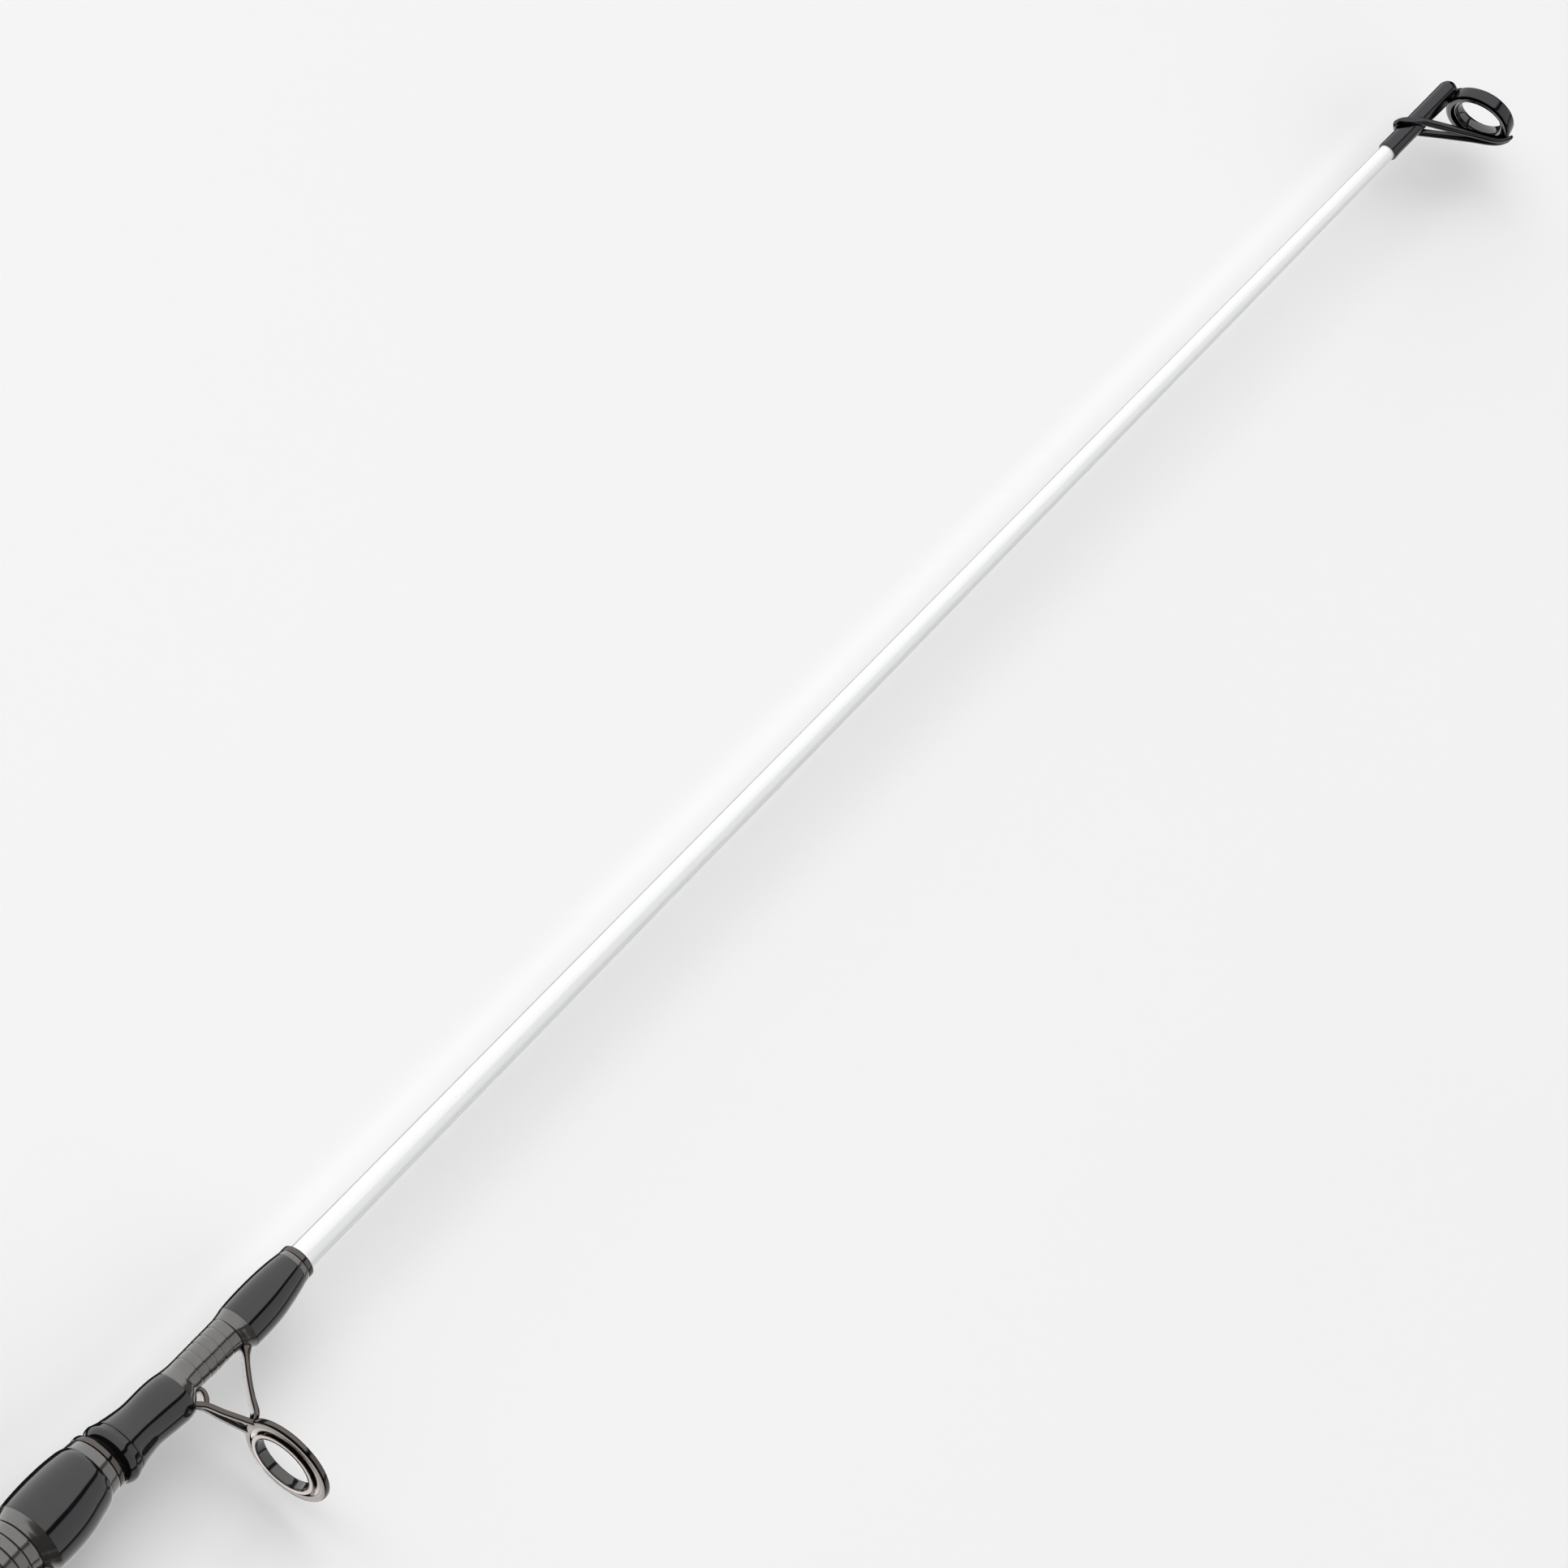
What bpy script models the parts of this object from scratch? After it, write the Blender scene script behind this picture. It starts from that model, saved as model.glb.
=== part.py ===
"""Telescopic boat fishing rod: a butt section with its handle and reel seat, two sliding sections and a tip.

The rod lies along +X, butt end at the origin, on its side, so the guide rings point to -Y and +Z is up.
The tip is pulled out; the middle and upper sections are pushed in, each resting on the rim of the next.
Lengths are in millimetres and become metres when an object is finished.
"""

import math
from dataclasses import dataclass

import bmesh
import bpy
from mathutils import Matrix, Vector

MM = 0.001
SIDES = 20                # facets round every turned piece, one of them flat underneath
GAP = 0.3                 # between pieces that rest on each other
LAYER = 0.1               # between a blank and what is bound on it

GRIP_RADIUS = 16.0        # the rear grip and the butt guide both lie on the table
MOUTH = 522.0             # butt section's mouth
COLLAR_LENGTH = 55.6      # upper section's collar, rim to stop end
TIP_OUT = 346.0           # white tip showing between the upper mouth and the tip-top


@dataclass
class Section:
    """One hollow section. Radii are given at its mouth and at its base."""

    name: str
    mouth: float
    base: float
    blank: tuple
    bore: tuple
    rim: float            # outer radius of the mouth ring
    stop: float           # outer radius of the flared stop end; none on the butt section
    along: float          # collar length against the upper section's
    ring: float           # outer radius of the guide ring
    reach: float          # rod axis to ring centre

    def blank_radius(self, behind):
        """Outer radius of the blank, that far behind the mouth."""
        share = behind / (self.mouth - self.base)
        return self.blank[0] + share * (self.blank[1] - self.blank[0])


BUTT = Section("butt", MOUTH, 14.2, (7.7, 9.2), (6.95, 8.45), 8.6, 0.0, 1.25, GRIP_RADIUS, 38.0)
MIDDLE_MOUTH = MOUTH + GAP + COLLAR_LENGTH * 1.12
MIDDLE = Section("middle", MIDDLE_MOUTH, 90.0, (5.3, 7.0), (4.62, 6.1), 5.9, 9.2, 1.12, 12.6, 30.6)
UPPER_MOUTH = MIDDLE_MOUTH + GAP + COLLAR_LENGTH
UPPER = Section("upper", UPPER_MOUTH, 200.0, (3.2, 4.6), (2.83, 3.85), 3.6, 6.5, 1.0, 9.9, 24.1)

# Upper collar: distance behind the rim, radius at the back, radius on the ring side, over the guide's feet.
MOUTH_RING = [(0.0, 3.35, 3.35), (0.25, 3.60, 3.60), (1.15, 3.60, 3.60), (1.4, 3.45, 3.45)]
TRIM_BAND = [(1.5, 3.58, 3.62), (2.6, 3.66, 3.76)]
FRONT_WRAP = [(2.7, 3.70, 3.82), (4.6, 3.95, 4.32), (7.2, 4.17, 4.84), (9.6, 4.27, 5.25),
              (12.5, 4.30, 5.52), (16.0, 4.22, 5.60), (18.2, 4.08, 5.55)]
NECK_WRAP = [(18.3, 4.06, 5.52), (19.6, 3.85, 4.70), (21.2, 3.64, 3.82), (33.4, 3.64, 3.72),
             (35.0, 3.80, 5.00), (36.3, 4.00, 6.05)]
REAR_WRAP = [(36.4, 4.02, 6.10), (38.0, 4.28, 6.25), (40.5, 4.45, 6.05), (45.3, 4.50, 5.62)]
FLARE = [(48.2, 0.28, 0.18), (51.4, 0.66, 0.60)]       # share of the way out to the stop radius
STOP_END = [(51.5, 0.68, 0.62), (53.4, 0.96, 0.94), (54.4, 1.0, 1.0), (55.2, 0.93, 0.93), (55.6, 0.78, 0.78)]
TAPER_END = [(49.0, 4.20, 4.40), (52.0, 3.72, 3.76)]   # the butt section's rear wrap just thins out

# Guide frame: foot toe, where the foot leaves the wrap, and the height of the leg as a share of the way to the ring.
FOOT_WIDTH = 2.1
FRONT_FOOT = (8.6, 18.6)
FRONT_LEG = [(20.2, 0.06), (21.6, 0.20), (23.8, 0.45), (26.0, 0.74), (27.8, 1.02)]
REAR_FOOT = (46.0, 37.2)
REAR_SADDLE = [(35.9, 0.07), (34.9, 0.24)]
REAR_LEG = [(33.4, 0.58, 0.155), (31.9, 0.90, 0.23)]
RING_FACE = 29.8          # tip-side face of the guide ring, behind the rim
RING_DEPTH = 1.2
BEZEL_DEPTH = 1.8
RING_STATION = 30.4       # middle of the ring, where the legs end
LEG_SPREAD = math.radians(17)

TIP_BASE = 45.0           # of the tip blank stays inside the upper section
TIP_RADII = (2.85, 2.73, 1.62)     # base, upper mouth, inside the tip-top
TUBE_RADIUS, TUBE_BORE, TUBE_LENGTH = 2.05, 1.75, 22.5
TOP_RING = (7.15, 6.1, 2.3)        # outer radius, bore, depth
TOP_INSERT = (5.8, 4.8, 2.9)
TOP_CENTRE = (21.3, 8.4)           # ahead of the tube's mouth, off the axis
TOP_LEAN = math.radians(11.5)
BRACE_WIRE = 1.2

CAP_LENGTH, CAP_RADIUS = 12.0, 15.2
SPIGOT_RADIUS, SPIGOT_END = 7.4, 34.0
REAR_GRIP = (20.0, 200.0)
SEAT = (204.3, 327.0)
SEAT_RADIUS, SEAT_BORE = 10.5, 8.85
BED = (247.0, 305.0)
BED_TOP, BED_WIDTH = 12.0, 12.0
NUT = (208.6, 225.6)
SLIDING_HOOD = (225.9, 246.0)
HOOD_TRAVEL = 14.0
FIXED_HOOD = (305.6, 327.0)
HOOD_BACK, HOOD_TOP, HOOD_WALL = 12.8, 19.2, 1.9
FOREGRIP = (331.3, 420.0)
KEEPER = 437.0


def material(name, colour, roughness, metallic=0.0):
    """A plain Principled finish. The colour is sRGB hex."""
    made = bpy.data.materials.new(name)
    made.use_nodes = True
    shader = made.node_tree.nodes["Principled BSDF"]
    linear = [((int(colour[i:i + 2], 16) / 255 + 0.055) / 1.055) ** 2.4 for i in (0, 2, 4)]
    shader.inputs["Base Color"].default_value = (*linear, 1.0)
    shader.inputs["Roughness"].default_value = roughness
    shader.inputs["Metallic"].default_value = metallic
    return made


def finish(name, bm, made_of, body=None, keep=True):
    """Turns a bmesh in millimetres into an object in metres. One that isn't kept is a cutter or a limb to be joined."""
    bmesh.ops.recalc_face_normals(bm, faces=bm.faces)
    mesh = bpy.data.meshes.new(name)
    centre = Vector((0, 0, 0)) if body is None else body.location
    bmesh.ops.transform(bm, matrix=Matrix.Translation(-centre) @ Matrix.Scale(MM, 4), verts=bm.verts)
    bm.to_mesh(mesh)
    bm.free()
    mesh.shade_smooth()
    mesh.set_sharp_from_angle(angle=math.radians(35))
    obj = bpy.data.objects.new(name, mesh)
    bpy.context.scene.collection.objects.link(obj)
    obj.parent = body
    if made_of is not None:
        mesh.materials.append(made_of)
    if not keep:
        obj.hide_render = True
        obj.display_type = "WIRE"
    return obj


def pivot(name, x, parent=None):
    """An empty on the rod axis that carries one moving body."""
    empty = bpy.data.objects.new(name, None)
    bpy.context.scene.collection.objects.link(empty)
    empty.location = (x * MM, 0, 0)
    empty.parent = parent
    return empty


def turned(outer, inner=None, centre=0.0, lean=0.0):
    """Spins an outline of (x, radius) or (x, back radius, ring-side radius) round an axis along X.

    The ring side swells out in an egg shape. With no inner outline the piece is solid. The axis runs
    through y = -centre, and lean turns the piece about Z at the outline's origin.
    """
    outline = [(p[0], p[1], p[-1]) for p in outer] + [(p[0], p[1], p[-1]) for p in reversed(inner or [])]
    bm = bmesh.new()
    station = bm.verts.layers.int.new("station")
    half = math.pi / SIDES
    chain = []
    for index, (x, back, _) in enumerate(outline):
        vert = bm.verts.new((x, -back * math.cos(half), back * math.sin(half)))
        vert[station] = index
        chain.append(vert)
    edges = [bm.edges.new(pair) for pair in zip(chain, chain[1:])]
    if inner:
        edges.append(bm.edges.new((chain[-1], chain[0])))
    bmesh.ops.spin(bm, geom=chain + edges, axis=(1, 0, 0), angle=math.tau, steps=SIDES, use_merge=True)
    if not inner:
        bmesh.ops.holes_fill(bm, edges=[e for e in bm.edges if e.is_boundary], sides=0)
    for vert in bm.verts:
        _, back, ring = outline[vert[station]]
        turn = math.atan2(vert.co.z, -vert.co.y)
        swell = 1 + (ring - back) / back * ((1 + math.cos(turn)) / 2) ** 2
        vert.co.y *= swell
        vert.co.z *= swell
    place = Matrix.Translation((0, -centre, 0)) @ Matrix.Rotation(lean, 4, "Z")
    bmesh.ops.transform(bm, matrix=place, verts=bm.verts)
    return bm


def bar(path, width, thickness, side=(0, 0, 1)):
    """A flat bar through the path's points, its width lying along side as far as the path allows."""
    bm = bmesh.new()
    across = bm.verts.layers.float.new("across")
    through = bm.verts.layers.float.new("through")
    points = [Vector(p) for p in path]

    def place(verts, index):
        before, after = points[max(index - 1, 0)], points[min(index + 1, len(points) - 1)]
        tangent = (after - before).normalized()
        over = (Vector(side) - tangent * tangent.dot(side)).normalized()
        for vert in verts:
            vert.co = points[index] + over * vert[across] + tangent.cross(over) * vert[through]

    corners = []
    for a, t in ((-1, -1), (1, -1), (1, 1), (-1, 1)):
        vert = bm.verts.new((a, t, 0))
        vert[across], vert[through] = a * width / 2, t * thickness / 2
        corners.append(vert)
    end = bm.faces.new(corners)
    place(corners, 0)
    for index in range(1, len(points)):
        grown = bmesh.ops.extrude_face_region(bm, geom=[end])
        if index > 1:
            bmesh.ops.delete(bm, geom=[end], context="FACES_ONLY")
        end = next(item for item in grown["geom"] if isinstance(item, bmesh.types.BMFace))
        place(end.verts, index)
    return bm


def combine(target, other, operation):
    """An exact Boolean left live on the target."""
    modifier = target.modifiers.new(operation.title(), "BOOLEAN")
    modifier.operation = operation
    modifier.solver = "EXACT"
    modifier.object = other


def collar_outline(section, stations):
    """Collar stations of the upper section, scaled to this one and placed along the rod.

    Radii grow with the mouth ring, and the swelling over the feet with the guide.
    """
    grow, size = section.rim / UPPER.rim, section.ring / UPPER.ring
    return [(section.mouth - d * section.along, back * grow, back * grow + (ring - back) * size)
            for d, back, ring in stations]


def flare_outline(section, stations):
    """Stations on the flare, between the rear wrap's last radius and the stop radius."""
    _, back, ring = collar_outline(section, REAR_WRAP)[-1]
    return [(section.mouth - d * section.along, back + b * (section.stop - back), ring + r * (section.stop - ring))
            for d, b, r in stations]


def bound_on(section, name, outer, made_of, body, cutters=()):
    """A ring or a thread wrap on a blank, hollowed where the guide's feet pass under it."""
    bore = [(x, section.blank_radius(section.mouth - x) + LAYER) for x in (outer[0][0], outer[-1][0])]
    obj = finish(f"{section.name}_{name}", turned(outer, bore), made_of, body)
    for cutter in cutters:
        combine(obj, cutter, "DIFFERENCE")
    return obj


def guide_paths(section):
    """Centre lines of the guide's front limb, rear foot and rear legs, as (x, y, z) points."""
    size = section.ring / UPPER.ring
    top = section.reach - section.ring
    front_height = section.blank_radius(FRONT_FOOT[1] * section.along) + 0.15 + 0.45 * size
    rear_height = section.blank_radius(REAR_FOOT[0] * section.along) + 0.15 + 0.45 * size

    def point(behind, height, z=0.0):
        return (section.mouth - behind * section.along, -height, z)

    front = [point(d, front_height) for d in FRONT_FOOT]
    front += [point(d, front_height + s * (top - front_height)) for d, s in FRONT_LEG]
    front.append(point(RING_STATION, top + 0.8 * size))
    rear = [point(d, rear_height) for d in REAR_FOOT]
    rear += [point(d, rear_height + s * (top - rear_height)) for d, s in REAR_SADDLE]
    legs = []
    middle = section.ring - 0.8 * size
    for hand in (1, -1):
        leg = [point(REAR_SADDLE[0][0], rear[-2][1] * -1, hand * 0.45 * size),
               point(REAR_SADDLE[1][0], rear[-1][1] * -1, hand * 0.6 * size)]
        leg += [point(d, rear_height + s * (top - rear_height), hand * z * section.ring) for d, s, z in REAR_LEG]
        leg.append(point(RING_STATION, section.reach - middle * math.cos(LEG_SPREAD),
                         hand * middle * math.sin(LEG_SPREAD)))
        legs.append(leg)
    return front, rear, legs


def make_guide(section, body):
    """Double-foot guide: stamped frame, bezel and ceramic ring. Returns the cutters for its feet."""
    size = section.ring / UPPER.ring
    face = section.mouth - RING_FACE * section.along
    name = f"{section.name}_guide"
    front, rear, legs = guide_paths(section)
    flange = [(face, section.ring), (face - RING_DEPTH * size, section.ring)]
    eye = [(x, section.ring - 1.6 * size) for x, _ in flange]
    frame = finish(name + "_frame", turned(flange, eye, centre=section.reach), GUNMETAL, body)
    limbs = [bar(path, FOOT_WIDTH * size, 0.9 * size) for path in (front, rear)]
    limbs += [bar(leg, 1.3 * size, 1.1 * size) for leg in legs]
    for index, limb in enumerate(limbs):
        combine(frame, finish(f"{name}_limb_{index}", limb, None, keep=False), "UNION")

    outside, inside = section.ring - 1.75 * size, section.ring - 3.3 * size
    back = face - BEZEL_DEPTH * size
    bezel = [(face + 0.3, outside), (face - RING_DEPTH * size, outside), (back, outside - 0.8 * size)]
    bezel_eye = [(face + 0.3, inside), (back, inside)]
    finish(name + "_bezel", turned(bezel, bezel_eye, centre=section.reach), BLACK_NICKEL, body)

    hole = section.ring - 3.95 * size
    seat = inside - LAYER
    insert = [(face + 0.8 * size, seat - 0.25), (face + 0.4, seat), (back, seat), (back - 0.15 * size, seat - 0.25)]
    throat = [(face + 0.8 * size, hole + 0.2), (face, hole), (back + 0.4, hole), (back - 0.15 * size, hole + 0.2)]
    finish(name + "_insert", turned(insert, throat, centre=section.reach), CERAMIC, body)

    spare = 2 * 0.28
    rear.append((section.mouth - 33.8 * section.along, rear[-1][1] - 2.0 * size, 0))
    return [finish(f"{name}_clearance_{index}", bar(path, FOOT_WIDTH * size + spare, 0.9 * size + spare), None, keep=False)
            for index, path in enumerate((front, rear))]


def make_section(section, body):
    """A blank with its mouth ring, thread wraps, guide and, where it slides, its stop collar."""
    outer = [(section.base, section.blank[1]), (section.mouth - 0.1, section.blank[0])]
    bore = [(section.base, section.bore[1]), (section.mouth - 0.1, section.bore[0])]
    finish(f"{section.name}_blank", turned(outer, bore), WHITE_BLANK, body)
    front_cutter, rear_cutter = make_guide(section, body)
    bound_on(section, "mouth_ring", collar_outline(section, MOUTH_RING), GUNMETAL, body)
    bound_on(section, "trim_band", collar_outline(section, TRIM_BAND), GREY_THREAD, body)
    bound_on(section, "front_wrap", collar_outline(section, FRONT_WRAP), DARK_THREAD, body, [front_cutter])
    bound_on(section, "neck_wrap", collar_outline(section, NECK_WRAP), GREY_THREAD, body, [front_cutter, rear_cutter])
    rear = collar_outline(section, REAR_WRAP)
    rear += flare_outline(section, FLARE) if section.stop else collar_outline(section, TAPER_END)
    bound_on(section, "rear_wrap", rear, DARK_THREAD, body, [rear_cutter])
    if section.stop:
        bound_on(section, "stop_collar", flare_outline(section, STOP_END), GLOSS_BLACK, body)


def make_tip(body):
    """White tip blank and the tip-top on its end."""
    tube = UPPER_MOUTH + TIP_OUT
    base, mouth, end = TIP_RADII
    blank = [(UPPER_MOUTH - TIP_BASE, base), (UPPER_MOUTH, mouth), (tube - 0.3, 1.68), (tube + 14.0, end)]
    finish("tip_blank", turned(blank), WHITE_BLANK, body)

    outside = [(tube, TUBE_RADIUS), (tube + 21.0, TUBE_RADIUS), (tube + 22.2, 1.5), (tube + TUBE_LENGTH, 0.7)]
    tip_tube = finish("tip_top_tube", turned(outside), GUNMETAL, body)
    bore = finish("tip_tube_bore", turned([(tube - 1, TUBE_BORE), (tube + 14.3, TUBE_BORE)]), None, keep=False)
    combine(tip_tube, bore, "DIFFERENCE")

    lean = Matrix.Translation((tube + TOP_CENTRE[0], -TOP_CENTRE[1], 0)) @ Matrix.Rotation(TOP_LEAN, 4, "Z")
    radius, hole, depth = TOP_RING
    rim = [(depth / 2, radius), (-depth / 2, radius)]
    ring = turned(rim, [(x, hole) for x, _ in rim])
    bmesh.ops.transform(ring, matrix=lean, verts=ring.verts)
    ring = finish("tip_top_ring", ring, GUNMETAL, body)
    seat = [(tube - 1, TUBE_RADIUS + 0.25), (tube + 21.3, TUBE_RADIUS + 0.25), (tube + 24, 0.8)]
    combine(ring, finish("tip_tube_clearance", turned(seat), None, keep=False), "DIFFERENCE")

    radius, hole, depth = TOP_INSERT
    rim = [(depth / 2, radius - 0.3), (depth / 2 - 0.3, radius), (0.3 - depth / 2, radius), (-depth / 2, radius - 0.3)]
    eye = [(depth / 2, hole + 0.4), (depth / 2 - 0.7, hole), (0.7 - depth / 2, hole), (-depth / 2, hole + 0.4)]
    insert = turned(rim, eye)
    bmesh.ops.transform(insert, matrix=lean, verts=insert.verts)
    finish("tip_top_insert", insert, CERAMIC, body)

    far = lean @ Vector((-TOP_RING[2] / 2 - GAP - BRACE_WIRE / 2, BRACE_WIRE / 2 - TOP_RING[0], 0))
    bend = TUBE_RADIUS + 0.25 + BRACE_WIRE / 2
    heel = tube + 6.0
    apart = BRACE_WIRE / 2 + 0.15
    path = [(far.x, far.y, apart), (far.x - 2.0, far.y + 1.7, apart), (heel + 3.2, -bend - 0.9, apart)]
    path += [(heel + x, bend * -math.cos(a), bend * math.sin(a)) for x, a in ((1.0, 0.6), (0.2, 1.2))]
    path += [(heel, bend * -math.cos(a), bend * math.sin(a)) for a in (1.8, 2.5, math.pi)]
    path += [(x, y, -z) for x, y, z in reversed(path[:-1])]
    finish("tip_top_brace", bar(path, BRACE_WIRE, BRACE_WIRE, side=(1, 0.2, 0)), GUNMETAL, body)


def hood(opening, closed, body, name):
    """Reel-foot hood: a sleeve on the seat with an egg-shaped pocket that opens towards the bed."""
    way = 1 if opening > closed else -1
    ends = [(closed, HOOD_BACK - 0.6, HOOD_BACK - 0.2), (closed + way * 3.0, HOOD_BACK, 16.5),
            (closed + way * 8.0, HOOD_BACK, HOOD_TOP), (opening, HOOD_BACK - 0.2, HOOD_TOP - 0.3)]
    sleeve = SEAT_RADIUS + 0.35
    pocket = [(closed, sleeve, sleeve), (closed + way * 3.4, sleeve, sleeve),
              (closed + way * 6.5, sleeve, HOOD_TOP - HOOD_WALL), (opening, sleeve, HOOD_TOP - HOOD_WALL)]
    finish(name, turned(ends, pocket), BLACK_NYLON, body)


def make_handle(body):
    """Grips, reel seat and fittings that don't move."""
    def clear(x):
        return BUTT.blank_radius(MOUTH - x) + 0.15

    def sleeve(name, outer, made_of):
        ends = (outer[0][0], outer[-1][0])
        return finish(name, turned(outer, [(x, clear(x)) for x in ends]), made_of, body)

    start, end = REAR_GRIP
    sleeve("butt_ferrule", [(13.9, 14.6), (14.5, CAP_RADIUS), (start - GAP, CAP_RADIUS)], ALUMINIUM)
    sleeve("rear_grip", [(start, 15.2), (start + 2, GRIP_RADIUS), (125, GRIP_RADIUS), (182, 13.8), (end - 1.5, 13.2),
                         (end, 12.4)], EVA_FOAM)
    sleeve("rear_winding_check", [(end + GAP, 12.2), (end + 2.5, 12.2), (SEAT[0] - GAP, 11.2)], ALUMINIUM)
    finish("reel_seat_body", turned([(x, SEAT_RADIUS) for x in SEAT], [(x, SEAT_BORE) for x in SEAT]), BLACK_NYLON,
           body)
    bed = bmesh.new()
    bmesh.ops.create_cube(bed, size=1.0)
    bmesh.ops.scale(bed, vec=(BED[1] - BED[0], BED_TOP - 8.0, BED_WIDTH), verts=bed.verts)
    bmesh.ops.translate(bed, vec=((BED[0] + BED[1]) / 2, -(BED_TOP + 8.0) / 2, 0), verts=bed.verts)
    bed = finish("reel_foot_bed", bed, BLACK_RUBBER, body)
    saddle = turned([(BED[0] - 5, SEAT_RADIUS + 0.2), (BED[1] + 5, SEAT_RADIUS + 0.2)])
    combine(bed, finish("bed_saddle", saddle, None, keep=False), "DIFFERENCE")
    hood(FIXED_HOOD[0], FIXED_HOOD[1], body, "fixed_hood")

    start, end = FOREGRIP
    sleeve("front_winding_check", [(FIXED_HOOD[1] + GAP, 12.4), (start - GAP, 12.4)], ALUMINIUM)
    sleeve("foregrip", [(start, 12.2), (start + 1.5, 13.0), (start + 30, 14.2), (end - 30, 13.2), (end - 1.5, 10.8),
                        (end, 10.2)], EVA_FOAM)
    sleeve("foregrip_end_check", [(end + GAP, 10.0), (end + 2.2, 10.0), (end + 3.6, 8.8)], ALUMINIUM)

    foot, height = clear(KEEPER) + 0.45, 5.2
    loop = [(KEEPER + x, -foot - height * h, 0) for x, h in
            ((-9.5, 0), (-4.6, 0), (-3.9, 0.3), (-3.0, 0.75), (-1.2, 1.0), (1.2, 1.0), (3.0, 0.75), (3.9, 0.3),
             (4.6, 0), (9.5, 0))]
    finish("hook_keeper", bar(loop, 0.8, 0.8), GUNMETAL, body)
    for name, way in (("keeper_rear_wrap", -1), ("keeper_front_wrap", 1)):
        ends = sorted((KEEPER + way * 5.0, KEEPER + way * 10.5))
        lift = foot + 0.9
        outline = [(ends[0], clear(KEEPER) + 0.3, lift), (ends[1], clear(KEEPER) + 0.3, lift)]
        wrap = finish(name, turned(outline, [(x, clear(x) - 0.05) for x in ends]), DARK_THREAD, body)
        groove = finish(name + "_groove", bar(loop, 1.3, 1.3), None, keep=False)
        combine(wrap, groove, "DIFFERENCE")
    bush = [(14.2, 8.3), (36.0, 8.3)]
    finish("butt_bush", turned(bush, [(x, SPIGOT_RADIUS + 0.3) for x, _ in bush]), BRASS, body)


def make_butt_cap(cap_body, gasket_body):
    """Screw cap that closes the hollow butt section, and the gasket it carries."""
    head = [(0.0, 13.6), (1.2, 14.9), (2.4, CAP_RADIUS), (CAP_LENGTH - 0.6, CAP_RADIUS), (CAP_LENGTH, 14.6),
            (CAP_LENGTH, SPIGOT_RADIUS), (SPIGOT_END - 1, SPIGOT_RADIUS), (SPIGOT_END, SPIGOT_RADIUS - 1)]
    finish("butt_cap", turned(head), BLACK_NYLON, cap_body)
    washer = [(CAP_LENGTH + 0.15, 13.0), (CAP_LENGTH + 1.6, 13.0)]
    finish("cap_gasket", turned(washer, [(x, SPIGOT_RADIUS + 0.3) for x, _ in washer]), BLACK_RUBBER, gasket_body)


def make_locking_nut(body):
    """Fluted nut that drives the sliding hood."""
    start, end = NUT
    rim = [(start, 12.4), (start + 1.2, 13.4), (end - 1.2, 13.4), (end, 12.8)]
    finish("locking_nut", turned(rim, [(start, SEAT_RADIUS + 0.35), (end, SEAT_RADIUS + 0.35)]), ALUMINIUM, body)


for obj in list(bpy.data.objects):
    bpy.data.objects.remove(obj)

WHITE_BLANK = material("white blank", "F4F4F2", 0.12)
DARK_THREAD = material("dark thread under epoxy", "1B1B1E", 0.08)
GREY_THREAD = material("grey thread under epoxy", "4A4743", 0.1)
GUNMETAL = material("gunmetal", "4B4542", 0.22, 1.0)
BLACK_NICKEL = material("black nickel", "2A2625", 0.18, 1.0)
CERAMIC = material("ceramic", "16171A", 0.06)
GLOSS_BLACK = material("gloss black epoxy", "0E0E10", 0.08)
BLACK_RUBBER = material("black rubber", "1C1C1D", 0.45)
BLACK_NYLON = material("black nylon", "17181A", 0.35)
EVA_FOAM = material("EVA foam", "202123", 0.85)
ALUMINIUM = material("anodised aluminium", "55565A", 0.28, 1.0)
BRASS = material("brass", "B08D4A", 0.35, 1.0)

root = pivot("butt_section_body", 0)
middle = pivot("middle_section_body", 0)
upper = pivot("upper_section_body", 0)
tip = pivot("tip_section_body", 0)
hood_body = pivot("sliding_hood_body", 0)
nut_body = pivot("locking_nut_body", 0)
gasket_body = pivot("cap_gasket_body", 0)
cap_body = pivot("butt_cap_body", 0)

make_section(BUTT, root)
make_handle(root)
make_section(MIDDLE, middle)
make_section(UPPER, upper)
make_tip(tip)
hood(SLIDING_HOOD[1], SLIDING_HOOD[0], hood_body, "sliding_hood")
make_locking_nut(nut_body)
make_butt_cap(cap_body, gasket_body)
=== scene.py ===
"""A telescopic boat fishing rod, dressed.

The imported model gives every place, and each piece gets its fine shape and finish here.
"""

import math
from types import SimpleNamespace

import bmesh
import bpy
from mathutils import Matrix, Vector


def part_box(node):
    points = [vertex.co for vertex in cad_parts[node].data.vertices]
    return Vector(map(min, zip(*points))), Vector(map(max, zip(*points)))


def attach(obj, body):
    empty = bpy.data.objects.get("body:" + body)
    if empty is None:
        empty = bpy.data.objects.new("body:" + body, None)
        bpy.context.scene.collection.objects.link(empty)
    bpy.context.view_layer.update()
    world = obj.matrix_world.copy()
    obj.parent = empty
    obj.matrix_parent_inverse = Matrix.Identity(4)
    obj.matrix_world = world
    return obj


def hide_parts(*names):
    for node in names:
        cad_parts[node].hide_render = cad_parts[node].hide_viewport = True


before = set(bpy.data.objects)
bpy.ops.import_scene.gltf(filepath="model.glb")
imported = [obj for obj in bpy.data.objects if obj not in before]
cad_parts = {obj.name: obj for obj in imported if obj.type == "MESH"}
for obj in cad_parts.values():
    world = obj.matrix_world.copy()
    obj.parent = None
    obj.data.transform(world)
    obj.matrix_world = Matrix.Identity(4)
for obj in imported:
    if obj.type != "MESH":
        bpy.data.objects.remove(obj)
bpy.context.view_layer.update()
MM = 0.001

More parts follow.
